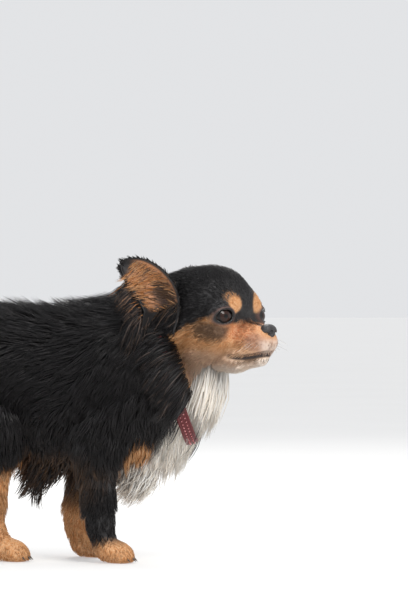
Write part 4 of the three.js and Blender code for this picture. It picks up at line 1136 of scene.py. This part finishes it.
class CHIHUAHUA_OT_coat(Operator):
    """The coat of the head, trunk, legs and tail, in tufts that follow its lie"""

    bl_idname = "chihuahua.coat"
    bl_label = "Coat"

    def execute(self, context):
        points, faces = skin_triangles()
        a, b, c = points[faces[:, 0]], points[faces[:, 1]], points[faces[:, 2]]
        area = np.linalg.norm(np.cross(b - a, c - a), axis=1) / 200  # square centimetres
        piece_of = coat_names_at((a + b + c) / 3)
        for number, (name, (per_cm2, width, rings, pull, stray)) in enumerate(COATS.items()):
            mine = np.flatnonzero(piece_of == number)
            corner = points[faces[mine, 0]]
            order = mine[np.argsort(corner[:, 0] // BAND * 1000 + corner[:, 2])]
            total = np.cumsum(area[order])
            spots = spread_evenly(total, int(total[-1] * per_cm2 * TUFT_SHARE))
            roots = places_in(a, b, c, order[spots])
            roots = random.permutation(roots[~bare(roots)])
            length = np.clip(LENGTH_PER_DEPTH * coat_at(roots)[1] + LEAST_LENGTH, 0, MOST_LENGTH)
            length *= random.uniform(*LENGTH_RANGE, len(roots))
            opening, _ = lid_distance(to_head(roots))
            length *= lerp(0.5, 1.0, smooth_step(2, 7, opening))
            level = random.uniform(*LEVEL_RANGE, len(roots)) ** 0.5
            sway = random.normal(0, stray, roots.shape)
            paths, normals = grow(roots, length, level, sway)
            paths, nearest = gathered(paths, HAIRS_TO_A_LOCK, pull)
            paths = waved(paths, normals, nearest, 0.05 * pull)
            if any(near in name for near in ("ruff", "skull", "chest")):
                keep = ~over_collar(paths)
                paths, normals = paths[keep], normals[keep]
            wide = width * random.uniform(*WIDTH_RANGE, len(paths)) / math.sqrt(TUFT_SHARE)
            coat_piece(name, paths, normals, wide, rings, UNWRAPS[name])
        return {"FINISHED"}


# Hair over the collar
OVER_COLLAR_TUFTS = 3200
OVER_COLLAR_LENGTH = (20, 36)
OVER_COLLAR_FROM = 0.5  # radians from the band's lowest point, on either side
NEAR_SIDE_TO = -2.4  # half of the tufts grow between there and this, on the dog's right


class CHIHUAHUA_OT_collar_hair(Operator):
    """Black hair that hangs over the collar from the hair ahead of it"""

    bl_idname = "chihuahua.collar_hair"
    bl_label = "Hair over the collar"

    def execute(self, context):
        count = int(OVER_COLLAR_TUFTS * TUFT_SHARE)
        angle = random.uniform(OVER_COLLAR_FROM, 2 * math.pi - OVER_COLLAR_FROM, count)
        near_side = random.random(count) < 0.5
        angle = np.where(near_side, -random.uniform(OVER_COLLAR_FROM, -NEAR_SIDE_TO, count), angle)
        along = random.uniform(-1, 14, count)
        out = random.uniform(-5, -1, count)
        roots = collar_at(angle, out, along)
        d = roots - COLLAR_CENTRE
        outward = unit(d - (d @ COLLAR_AXIS)[:, None] * COLLAR_AXIS)
        noise = random.normal(0, 0.12, roots.shape)
        way = outward * 1.1 - 0.6 * COLLAR_AXIS + [0, 0, -0.3] + noise
        turn_to = outward * 0.05 + [-0.45, 0, -1] - 0.5 * COLLAR_AXIS + noise
        paths = free_paths(roots, way, turn_to, random.uniform(*OVER_COLLAR_LENGTH, count))
        paths, nearest = gathered(paths, HAIRS_TO_A_LOCK, 0.7)
        paths = waved(paths, outward, nearest, 0.04)
        keep = ~over_collar(paths)
        paths, outward = paths[keep], outward[keep]
        count = len(paths)
        wisp = np.where(random.random(count) < 0.1, 0.5, 0.0)
        extra = {"pale": np.zeros(count), "tan": np.zeros(count), "wisp": wisp}
        widths = random.uniform(0.6, 1.1, count) * WIDER
        coat_piece("coat_collar", paths, outward, widths, 4, unwrap_neck, extra)
        return {"FINISHED"}


# Bib: white hair that hangs free from the throat
BIB_BACK, BIB_FRONT, BIB_HALF = -50, -16, 13
BIB_TUFTS = 3600
BIB_LENGTH = (34, 62)


class CHIHUAHUA_OT_bib(Operator):
    """The white bib under the throat"""

    bl_idname = "chihuahua.bib"
    bl_label = "Bib"

    def execute(self, context):
        points, faces = skin_triangles()
        middle = points[faces].mean(1)
        h = to_head(middle)
        chosen = (h[:, 0] > BIB_BACK) & (h[:, 0] < BIB_FRONT) & (np.abs(h[:, 1]) < BIB_HALF) & (h[:, 2] < -34)
        count = int(BIB_TUFTS * TUFT_SHARE)
        pick = random.choice(np.flatnonzero(chosen), count)
        roots = middle[pick] + random.normal(0, 0.5, (count, 3))
        falling = -np.ones(count)
        ahead = turn_from_head(np.column_stack([random.normal(-0.1, 0.08, count), h[pick, 1] / 60, falling]))
        down = np.column_stack([random.normal(-0.32, 0.07, count), random.normal(0, 0.07, count), falling])
        paths = free_paths(roots, ahead, down, random.uniform(*BIB_LENGTH, count))
        normals = np.tile(turn_from_head([0.4, -1, 0]), (count, 1))
        paths, nearest = gathered(paths, 22, 0.6, 0.35)
        paths = waved(paths, normals, nearest, 0.03)
        width = random.uniform(0.8, 1.3, count) * BIB_WIDER
        white = {"pale": np.ones(count), "tan": np.zeros(count)}
        coat_piece("coat_bib", paths, normals, width, 4, unwrap_head, white)
        return {"FINISHED"}


# Ears: a cupped leaf on a bent spine of base, bend and tip in the head's frame, the way it opens,
# and which end of its width is the rear edge
EARS = {
    "right": ([[-47, -40, -10], [-35, -43, 27], [-71, -59, 41]], [0.55, -0.82, -0.05], -1),
    "left": ([[-46, 40, -10], [-50, 41, 20], [-86, 47, 34]], [0.3, 0.95, -0.05], 1),
}
EAR_HALF_WIDTH = 19.5
EAR_THICK = 1.5
EAR_STEPS = 44


def ear_surface(ear, u, v):
    spine, opens, _ = ear
    a, b, c = (np.array(p, float) for p in spine)
    u, v = np.asarray(u, float)[:, None], np.clip(np.asarray(v, float), 0, 1)[:, None]
    at = (1 - v) ** 2 * a + 2 * (1 - v) * v * b + v**2 * c
    along = unit(2 * (1 - v) * (b - a) + 2 * v * (c - b))
    side = unit(np.cross(along, np.array(opens, float)))
    front = unit(np.cross(side, along))
    width = EAR_HALF_WIDTH * (0.72 + 0.55 * v) * (1 - v**2.4) ** 0.62 + 0.6
    cup = 3 + 12 * (1 - v) ** 0.8
    return at + side * u * width * (1 - 0.12 * u * u) + front * (cup * (u * u - 1) + 6 * (1 - v))


def ear_frame(ear, u, v):
    """The ear's surface and its directions: across, along and out of its opening."""
    du = unit(ear_surface(ear, u + 0.02, v) - ear_surface(ear, u - 0.02, v))
    dv = unit(ear_surface(ear, u, np.minimum(v + 0.02, 0.999)) - ear_surface(ear, u, np.maximum(v - 0.02, 0)))
    normal = unit(np.cross(du, dv))
    normal *= np.where(normal @ np.array(ear[1]) < 0, -1.0, 1.0)[:, None]
    return ear_surface(ear, u, v), du, dv, normal


def ear_thickness(u, v):
    return EAR_THICK * (1.1 - 0.45 * np.maximum(np.abs(u), v))


def ear_mesh(ear):
    n = EAR_STEPS
    j, i = np.meshgrid(np.arange(n + 1), np.arange(n + 1), indexing="ij")
    u, v = 2 * i.ravel() / n - 1, j.ravel() / n
    at, _, _, normal = ear_frame(ear, u, v)
    ripple = 0.7 * np.sin(9 * v + 2 * u) * np.abs(u) ** 3
    fold = 1.6 * ridge(v - 0.22, 0.07) * smooth_step(0.35, 0.8, u * ear[2])
    at = at + normal * (ripple + fold)[:, None]
    face = at + normal * ear_thickness(u, v)[:, None]
    size = (n + 1) ** 2
    corner = (j[:-1, :-1] * (n + 1) + i[:-1, :-1]).ravel()
    back = np.column_stack([corner, corner + 1, corner + n + 2, corner + n + 1])
    faces = [back, back[:, ::-1] + size]
    edge = np.arange(n)
    rims = [edge, (n * (n + 1) + edge)[::-1] + 1, (edge * (n + 1))[::-1] + n + 1, edge * (n + 1) + n]
    nexts = [edge + 1, (n * (n + 1) + edge)[::-1], (edge * (n + 1))[::-1], (edge + 1) * (n + 1) + n]
    for start, end in zip(rims, nexts):
        faces.append(np.column_stack([end, start, start + size, end + size]))
    points = from_head(np.concatenate([at, face]))
    faces = np.concatenate(faces)
    if facing_in(points - points.mean(0), faces):
        faces = faces[:, ::-1]
    rear = u * ear[2]
    rim = smooth_step(0.85, 0.6, rear) * smooth_step(-1.0, -0.8, rear) * smooth_step(0.94, 0.8, v)
    rim *= smooth_step(0.16, 0.34, v)
    inner = np.concatenate([np.zeros(size), rim])
    # Painted shade: the mask of the ear's hollow, where the lining is darkened
    hollow = np.tile(smooth_step(0.42, 0.1, np.hypot((rear + 0.35) * 0.55, v - 0.36)), 2)
    return points, faces, {"inner": inner, "hollow": hollow}


class CHIHUAHUA_OT_ears(Operator):
    """The cupped ears, with a fold at the rear edge"""

    bl_idname = "chihuahua.ears"
    bl_label = "Ears"

    def execute(self, context):
        for side, ear in EARS.items():
            points, faces, marks = ear_mesh(ear)
            piece = mesh_object(f"ear_skin_{side}", points, faces, shared_material("ear"))
            set_floats(piece.data, marks)
            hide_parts(f"ear_{side}")
        return {"FINISHED"}


# Hair of the ears: tufts, length range, width, and the share of tan and of wispy tips
EAR_HAIR = {
    "back": (1300, (4, 8), 0.7, 0.0, 0.05),
    "rim": (800, (3, 5), 0.55, 0.0, 0.08),
    "lining": (1000, (9, 18), 0.45, 1.0, 0.2),
    "fringe": (700, (12, 26), 0.55, 0.06, 0.3),
    "tress": (1500, (22, 46), 0.75, 0.0, 0.25),
}


def ear_hair(ear, kind, count):
    """Roots, first ways, last ways and normals of one kind of ear hair, in the head's frame."""
    rear = ear[2]
    u, v = random.uniform(-0.97, 0.97, count), random.uniform(0.04, 0.97, count)
    if kind == "rim":
        edge = random.choice([-1.0, 1.0], count) * random.uniform(0.93, 1.0, count)
        top = random.random(count) < 0.25
        u, v = np.where(top, u, edge), np.where(top, 0.97, v)
    if kind == "lining":
        u = np.where(random.random(count) < 0.55, -rear * random.uniform(0.5, 0.95, count), -rear * u * 0.6)
        v = random.uniform(0.16, 0.88, count)
    if kind == "fringe":
        u, v = rear * random.uniform(0.75, 1.0, count), random.uniform(0.1, 0.85, count)
    if kind == "tress":
        u, v = rear * random.uniform(-1.0, 1.0, count), random.uniform(0.0, 0.3, count)
    at, du, dv, normal = ear_frame(ear, u, v)
    outward = du * np.sign(u)[:, None]
    noise = random.normal(0, 0.12, at.shape)
    if kind == "back":
        way = dv + 0.5 * u[:, None] * du - 0.18 * normal + noise
        return at - normal * 0.2, way, dv + outward + noise, -normal
    if kind == "rim":
        return at, outward * 0.4 + dv * 0.9 + noise, outward * 0.1 + dv + [-0.2, 0, -0.3] + noise, normal
    if kind == "lining":
        start = at + normal * ear_thickness(u, v)[:, None] * 0.6
        way, turn_to = 0.5 * dv + 0.45 * normal, 0.4 * dv + 0.05 * normal
        return start, rear * du + way + noise, rear * du + turn_to + noise, normal
    if kind == "fringe":
        way = rear * du + 0.25 * dv + 0.15 * normal + noise
        return at, way, np.array([-0.75, 0, -0.75]) + noise, normal
    way = rear * 0.35 * du + 0.12 * normal + [-0.25, 0, -0.3] + noise
    return at, way, np.array([-0.35, 0.0, -1]) + noise * 0.6, normal


class CHIHUAHUA_OT_ear_hair(Operator):
    """Short hair on the ears, the tan hair inside them, and the long fringe behind"""

    bl_idname = "chihuahua.ear_hair"
    bl_label = "Ear hair"

    def execute(self, context):
        for side, ear in EARS.items():
            rows = []
            for kind, (count, reach, width, tan, wisp) in EAR_HAIR.items():
                count = int(count * EAR_TUFT_SHARE)
                lengths = random.uniform(*reach, count)
                roots, way, turn_to, normals = ear_hair(ear, kind, count)
                paths = free_paths(roots, way, turn_to, lengths)
                paths, nearest = gathered(paths, 9, 0.5)
                paths = waved(paths, normals, nearest, 0.05)
                rows.append((paths, normals, *(np.full(count, value) for value in (width, tan, wisp))))
            paths, normals, widths, tan, wisp = (np.concatenate(column) for column in zip(*rows))
            paths = from_head(paths.reshape(-1, 3)).reshape(paths.shape)
            normals = turn_from_head(normals)
            count = len(paths)
            lighter = random.random(count)
            # Painted shade: ear hair near the ear's hollow is given the brown, more often the nearer it grows
            middle = from_head(ear_surface(ear, np.array([-0.45 * ear[2]]), np.array([0.34])))
            dark = smooth_step(15, 7, np.linalg.norm(paths[:, 0] - middle, axis=1))
            extra = {
                "tan": np.where(random.random(count) < tan, 1.0, 0.0),
                "pale": np.zeros(count),
                "smudge": np.where(random.random(count) < dark, 0.9, 0.0),
                "pad": np.zeros(count),
                "red": np.full(count, 0.2),
                "wisp": np.where(lighter < wisp, 0.8, 0.0),
            }
            widths = widths * random.uniform(*WIDTH_RANGE, count) * WIDER
            coat_piece(f"coat_ear_{side}", paths, normals, widths, 3, unwrap_head, extra)
        return {"FINISHED"}


# Eyes
CORNEA = 0.62  # radians from the middle of the eye
CORNEA_OUT = 0.045


class CHIHUAHUA_OT_eyes(Operator):
    """The eyeballs, each with a cornea that swells and a dark iris"""

    bl_idname = "chihuahua.eyes"
    bl_label = "Eyes"

    def execute(self, context):
        rings, turns = 40, 56
        for side, sign in (("left", 1), ("right", -1)):
            angle = np.linspace(0, math.pi, rings)[:, None] + np.zeros(turns)
            spin = np.linspace(0, 2 * math.pi, turns, endpoint=False)[None] + np.zeros((rings, 1))
            radius = EYE_R * (1 + CORNEA_OUT * smooth_step(CORNEA, 0, angle))
            gaze = unit(np.array([math.cos(GAZE), sign * math.sin(GAZE), 0.02]))
            across = unit(np.cross([0, 0, 1], gaze))
            up = np.cross(gaze, across)
            ring = np.cos(spin)[..., None] * across + np.sin(spin)[..., None] * up
            points = radius[..., None] * (np.cos(angle)[..., None] * gaze + np.sin(angle)[..., None] * ring)
            points = points.reshape(-1, 3) + [0, sign * EYE_OUT, 0]
            i, j = np.meshgrid(np.arange(rings - 1), np.arange(turns), indexing="ij")
            a, b = i * turns + j, i * turns + (j + 1) % turns
            faces = np.stack([a, a + turns, b + turns, b], -1).reshape(-1, 4)
            piece = mesh_object(f"eyeball_{side}", from_head(points), faces, shared_material("eye"))
            set_floats(piece.data, {"angle": angle.ravel(), "spin": np.cos(spin * 2).ravel()})
            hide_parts(f"eye_{side}")
        return {"FINISHED"}


# Nose
NOSE_AT = np.array([29.5, 0, -11.5])
nose_shape = both_sides(
    blend(
        3,
        egg([0, 0, 1.5], [5.5, 6.2, 4.2]),
        egg([0.5, 3.6, -0.2], [4.6, 3.8, 3.8]),
        egg([2, 0, -2.2], [3.2, 2.8, 3]),
    )
)
nostril = both_sides(limb([5.2, 2.8, -0.6], [1, 7.6, -2.4], 1.5, 0.8))


def nose_plain(h):
    return nose_shape(h - NOSE_AT)


def nose_field(h):
    d = h - NOSE_AT
    cleft = np.abs(d[:, 1]) - 0.25 + 0.4 * np.maximum(1.5 - d[:, 0], 0)
    shape = np.maximum(nose_shape(d), -nostril(d))
    return np.maximum(shape, -np.maximum(cleft, d[:, 2] + 0.5))


class CHIHUAHUA_OT_nose(Operator):
    """The nose leather, with comma-shaped nostrils"""

    bl_idname = "chihuahua.nose"
    bl_label = "Nose"

    def execute(self, context):
        points, quads = wrap(nose_field, NOSE_AT - [10, 12, 11], NOSE_AT + [11, 12, 11], 0.42)
        piece = mesh_object("nose_leather", from_head(points), quads, shared_material("nose"))
        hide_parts("nose")
        return {"FINISHED"}


# Claws
CLAW_LENGTH = 7
CLAW_R = 1.5
CLAW_HEIGHT = 5.6
CLAW_DROP = 4.4


def claw_points(x, y):
    """A cone that curves down towards the floor, from its root in the toe to its tip."""
    rings, turns = 7, 10
    points, along = [], []
    for k in range(rings):
        t = k / (rings - 1)
        middle = np.array([x + CLAW_LENGTH * t * 0.9, y, CLAW_HEIGHT - CLAW_DROP * t**1.6])
        radius = CLAW_R * (1 - t) ** 0.6 + 0.12
        for m in range(turns):
            angle = 2 * math.pi * m / turns
            points.append(middle + [0, radius * math.cos(angle) * 0.8, radius * math.sin(angle)])
            along.append(t)
    faces = []
    for k in range(rings - 1):
        for m in range(turns):
            a, b = k * turns + m, k * turns + (m + 1) % turns
            faces += [[a, b, b + turns], [a, b + turns, a + turns]]
    root, tip, last = len(points), len(points) + 1, (rings - 1) * turns
    points += [np.array([x, y, CLAW_HEIGHT]), middle]
    along += [0, 1]
    for m in range(turns):
        n = (m + 1) % turns
        faces += [[n, m, root], [last + m, last + n, tip]]
    return np.array(points), faces, along


class CHIHUAHUA_OT_claws(Operator):
    """Four dark claws on each paw"""

    bl_idname = "chihuahua.claws"
    bl_label = "Claws"

    def execute(self, context):
        for name, (_, _, paw) in LEGS.items():
            points, faces, along, count = [], [], [], 0
            for spread, reach in zip(TOE_SPREAD, TOE_REACH):
                made, triangles, t = claw_points(paw[0] + reach + 1.6, paw[1] + spread)
                faces += [[i + count for i in face] for face in triangles]
                points.append(made)
                along += t
                count += len(made)
            points = np.concatenate(points)
            points[:, 2] = np.maximum(points[:, 2], 0.1)
            piece = mesh_object(f"claws_{name}", points, np.array(faces), shared_material("claw"))
            set_floats(piece.data, {"along": np.array(along)})
        return {"FINISHED"}


# Whiskers: the height of each row in the head's frame, and how many it has
WHISKER_ROWS = [(-17.5, 4), (-20, 5), (-22.5, 4)]


class CHIHUAHUA_OT_whiskers(Operator):
    """Whiskers from the pads"""

    bl_idname = "chihuahua.whiskers"
    bl_label = "Whiskers"

    def execute(self, context):
        roots, ways = [], []
        for side in (1, -1):
            for height, count in WHISKER_ROWS:
                for k in range(count):
                    roots.append([19 + 2.6 * k, side * (13 - 0.9 * k), height])
                    ways.append([0.2 + 0.12 * k, side * 0.9, -0.15 + 0.05 * k])
        roots, ways = np.array(roots, float), np.array(ways, float)
        count = len(roots)
        lengths = random.uniform(13, 24, count)
        paths = free_paths(roots, ways, ways + [-0.5, 0, -0.35], lengths)
        paths = from_head(paths.reshape(-1, 3)).reshape(paths.shape)
        normals = np.tile([0.0, 0.0, 1.0], (count, 1))
        extra = {"pale": (random.random(count) < 0.5) * 1.0, "tan": np.zeros(count)}
        coat_piece("whiskers", paths, normals, np.full(count, 0.22), 4, unwrap_head, extra)
        return {"FINISHED"}


# Collar
STUD_ROWS = (-1.6, 1.6)  # along the band's width, from its middle
STUDS_ROUND = 86
STUD_R = 0.95


def collar_at(angle, out, along):
    """A point of the band: angle round it, out from its inner face, and along its width."""
    across = np.cos(angle)[:, None] * (COLLAR_HALF_LONG + out)[:, None] * COLLAR_DOWN
    across = across + np.sin(angle)[:, None] * (COLLAR_HALF_WIDE + out)[:, None] * COLLAR_ACROSS
    return COLLAR_CENTRE + across + along[:, None] * COLLAR_AXIS


def band_outline():
    """Half the band's section: out from the inner face, and along the width."""
    t, w = COLLAR_THICK, COLLAR_WIDTH / 2
    edge = [(0, -w + 1), (0.2, -w + 0.2), (1.5, -w), (t - 0.3, -w + 0.3), (t, -w + 1), (t, -w + 1.8)]
    seam = [(t - 0.4, -w + 2.1), (t - 0.1, -w + 2.5)]
    half = edge + seam + [(t, 0)]
    return half + [(out, -along) for out, along in reversed(half[:-1])] + [(0, 0)]


class CHIHUAHUA_OT_collar(Operator):
    """The red collar, with two rows of small bright studs"""

    bl_idname = "chihuahua.collar"
    bl_label = "Collar"

    def execute(self, context):
        steps = 160
        outline = np.array(band_outline())
        size = len(outline)
        angle = np.repeat(np.linspace(0, 2 * math.pi, steps, endpoint=False), size)
        section = np.tile(outline, (steps, 1))
        points = collar_at(angle, section[:, 0], section[:, 1])
        i, k = np.meshgrid(np.arange(steps), np.arange(size), indexing="ij")
        a, b = i * size + k, i * size + (k + 1) % size
        c, d = (i + 1) % steps * size + (k + 1) % size, (i + 1) % steps * size + k
        faces = np.stack([a, b, c, d], -1).reshape(-1, 4)
        band = mesh_object("collar_band", points, faces, shared_material("band"))
        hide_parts("collar")
        bm = bmesh.new()
        for row in STUD_ROWS:
            for n in range(STUDS_ROUND):
                turn = np.array([2 * math.pi * (n + (row > 0) * 0.5) / STUDS_ROUND])
                place = collar_at(turn, np.array([COLLAR_THICK + 0.1]), np.array([row]))[0]
                made = bmesh.ops.create_icosphere(bm, subdivisions=1, radius=STUD_R)["verts"]
                bmesh.ops.translate(bm, verts=made, vec=Vector(place))
        points, faces = taken_out(bm)
        mesh_object("collar_studs", points, faces, shared_material("stud"), smooth=False)
        return {"FINISHED"}


# Stage: the camera looks from where the photo seems to have been taken
VIEW_TURN = math.radians(12)
VIEW_RIGHT = np.array([math.cos(VIEW_TURN), math.sin(VIEW_TURN), 0])
VIEW_AHEAD = np.array([-math.sin(VIEW_TURN), math.cos(VIEW_TURN), 0])
VIEW_MIDDLE = VIEW_RIGHT * 75.2 + np.array([0, 0, 203.2])
VIEW_DISTANCE = 2720.0
LENS = 200.0
FLOOR_HALF = 60.0  # metres
PALE_SKY = (0.90, 0.91, 0.93, 1)
SKY_STRENGTH = 0.85
FLOOR_GLOW = 0.36
LIGHTS_AIM = (0, 0, 0.12)  # metres
# Where each light hangs and its size, in metres, its power and its colour
LIGHTS = {
    "key": ((0.9, -1.1, 1.5), 0.8, 20.0, (1.0, 0.97, 0.93)),
    "fill": ((-1.3, -1.2, 0.7), 1.2, 4.0, (0.92, 0.96, 1.0)),
    "rim": ((-0.4, 1.4, 1.5), 0.9, 16.0, (1.0, 0.98, 0.95)),
    "top": ((0.1, -0.1, 1.9), 1.2, 7.0, (0.95, 0.97, 1.0)),
}


class CHIHUAHUA_OT_stage(Operator):
    """The floor, the soft lights and the camera"""

    bl_idname = "chihuahua.stage"
    bl_label = "Stage"

    def execute(self, context):
        scene = context.scene
        mesh = bpy.data.meshes.new("floor")
        corners = [(x * FLOOR_HALF, y * FLOOR_HALF, 0) for x, y in ((-1, -1), (1, -1), (1, 1), (-1, 1))]
        mesh.from_pydata(corners, [], [(0, 1, 2, 3)])
        mesh.materials.append(shared_material("floor"))
        floor = bpy.data.objects.new("floor", mesh)
        scene.collection.objects.link(floor)
        for name, (place, size, power, tint) in LIGHTS.items():
            light = bpy.data.lights.new(name, "AREA")
            light.shape = "DISK"
            light.size = size
            light.energy = power
            light.color = tint
            lamp = bpy.data.objects.new(name, light)
            lamp.location = place
            lamp.rotation_euler = (Vector(LIGHTS_AIM) - lamp.location).to_track_quat("-Z", "Y").to_euler()
            scene.collection.objects.link(lamp)
        world = bpy.data.worlds.new("studio")
        world.use_nodes = True
        sky = world.node_tree.nodes["Background"]
        sky.inputs["Color"].default_value = PALE_SKY
        sky.inputs["Strength"].default_value = SKY_STRENGTH
        scene.world = world
        scene.view_settings.view_transform = "Standard"
        camera = bpy.data.cameras.new("camera")
        camera.lens = LENS
        camera.sensor_width = 36
        camera.clip_end = 60
        seat = bpy.data.objects.new("camera", camera)
        seat.location = to_frame(VIEW_MIDDLE - VIEW_AHEAD * VIEW_DISTANCE)
        seat.rotation_euler = Vector(VIEW_AHEAD).to_track_quat("-Z", "Y").to_euler()
        scene.collection.objects.link(seat)
        scene.camera = seat
        return {"FINISHED"}


# What a user would change
def length(name, value, words):
    return FloatProperty(name=name, description=words, default=value, unit="LENGTH")


class ChihuahuaSizes(PropertyGroup):
    skin_cell: length("Skin cell", 0.002, "Grid size of the skin")
    quick_cell: length("Quick cell", 0.0024, "Grid size of the skin in a quick try")


def tint(name, value, words):
    return FloatVectorProperty(name=name, description=words, default=(*value, 1.0), size=4, subtype="COLOR")


class ChihuahuaColours(PropertyGroup):
    black: tint("Black", (0.006, 0.0055, 0.006), "Black of the coat")
    black_light: tint("Light black", (0.021, 0.019, 0.020), "Where black hair catches the light")
    tan: tint("Tan", (0.54, 0.225, 0.072), "Tan of the cheeks and legs")
    red_tan: tint("Red tan", (0.46, 0.125, 0.032), "Reddest tan, beside the muzzle")
    cream: tint("Cream", (0.83, 0.62, 0.38), "Cream hair")
    white: tint("White", (0.95, 0.93, 0.89), "White of the bib")
    # Also painted as shade on the ear hair in the ears' hollows
    smudge: tint("Smudge", (0.10, 0.055, 0.028), "Brown in the black")
    whisker_pad: tint("Whisker pad", (0.32, 0.16, 0.12), "Skin that shows on the whisker pad")
    wisp: tint("Wisp", (0.045, 0.032, 0.028), "Brown tips of the long hair")
    wisp_light: tint("Light wisp", (0.20, 0.14, 0.11), "Blond tips of the long hair")
    lid_skin: tint("Lid", (0.16, 0.08, 0.06), "Bare skin of the lids")
    lid_dark: tint("Dark lid", (0.06, 0.03, 0.027), "Dark flecks of the lids")
    eye_rim: tint("Eye rim", (0.004, 0.003, 0.003), "Rim round the eye")
    lip: tint("Lip", (0.025, 0.015, 0.014), "Dark line of the lips")
    ear_skin: tint("Ear skin", (0.4, 0.22, 0.15), "Bare skin inside the ear")
    # Painted shade of the ear's hollow
    ear_hollow: tint("Ear hollow", (0.05, 0.02, 0.012), "Depth of the ear")
    iris: tint("Iris", (0.006, 0.002, 0.0012), "Dark of the iris")
    iris_light: tint("Light iris", (0.04, 0.011, 0.005), "Light of the iris")
    eye_white: tint("Eye white", (0.14, 0.09, 0.075), "White of the eye")
    nose: tint("Nose", (0.035, 0.032, 0.034), "Nose leather")
    # Painted shade in the creases of the nose leather
    nose_crease_shade: tint("Dark nose", (0.012, 0.011, 0.012), "Creases of the nose leather")
    claw: tint("Claw", (0.12, 0.09, 0.07), "Tip of a claw")
    claw_dark: tint("Dark claw", (0.02, 0.016, 0.014), "Root of a claw")
    band: tint("Band", (0.16, 0.006, 0.01), "Collar band")
    band_dark: tint("Dark band", (0.05, 0.003, 0.005), "Weave of the collar band")
    stud: tint("Stud", (0.30, 0.05, 0.055), "Collar stud")
    stud_light: tint("Light stud", (0.6, 0.3, 0.3), "Glint of a collar stud")


class CHIHUAHUA_PT_panel(Panel):
    """Lists the pieces of the chihuahua"""

    bl_idname = "CHIHUAHUA_PT_panel"
    bl_label = "Chihuahua"
    bl_space_type = "VIEW_3D"
    bl_region_type = "UI"
    bl_category = "Chihuahua"

    def draw(self, context):
        for operator in OPERATORS:
            self.layout.operator(operator.bl_idname)
        for group in (context.scene.chihuahua_sizes, context.scene.chihuahua_colours):
            for key in group.__annotations__:
                self.layout.prop(group, key)


OPERATORS = [
    CHIHUAHUA_OT_stage,
    CHIHUAHUA_OT_skin,
    CHIHUAHUA_OT_ears,
    CHIHUAHUA_OT_eyes,
    CHIHUAHUA_OT_nose,
    CHIHUAHUA_OT_claws,
    CHIHUAHUA_OT_collar,
    CHIHUAHUA_OT_coat,
    CHIHUAHUA_OT_collar_hair,
    CHIHUAHUA_OT_bib,
    CHIHUAHUA_OT_ear_hair,
    CHIHUAHUA_OT_whiskers,
]
CLASSES = [ChihuahuaSizes, ChihuahuaColours, *OPERATORS, CHIHUAHUA_PT_panel]


def register():
    for item in CLASSES:
        bpy.utils.register_class(item)
    bpy.types.Scene.chihuahua_sizes = PointerProperty(type=ChihuahuaSizes)
    bpy.types.Scene.chihuahua_colours = PointerProperty(type=ChihuahuaColours)


def unregister():
    del bpy.types.Scene.chihuahua_sizes
    del bpy.types.Scene.chihuahua_colours
    for item in reversed(CLASSES):
        bpy.utils.unregister_class(item)


def main():
    register()
    for operator in OPERATORS:
        group, name = operator.bl_idname.split(".")
        getattr(getattr(bpy.ops, group), name)()


if __name__ == "__main__":
    main()
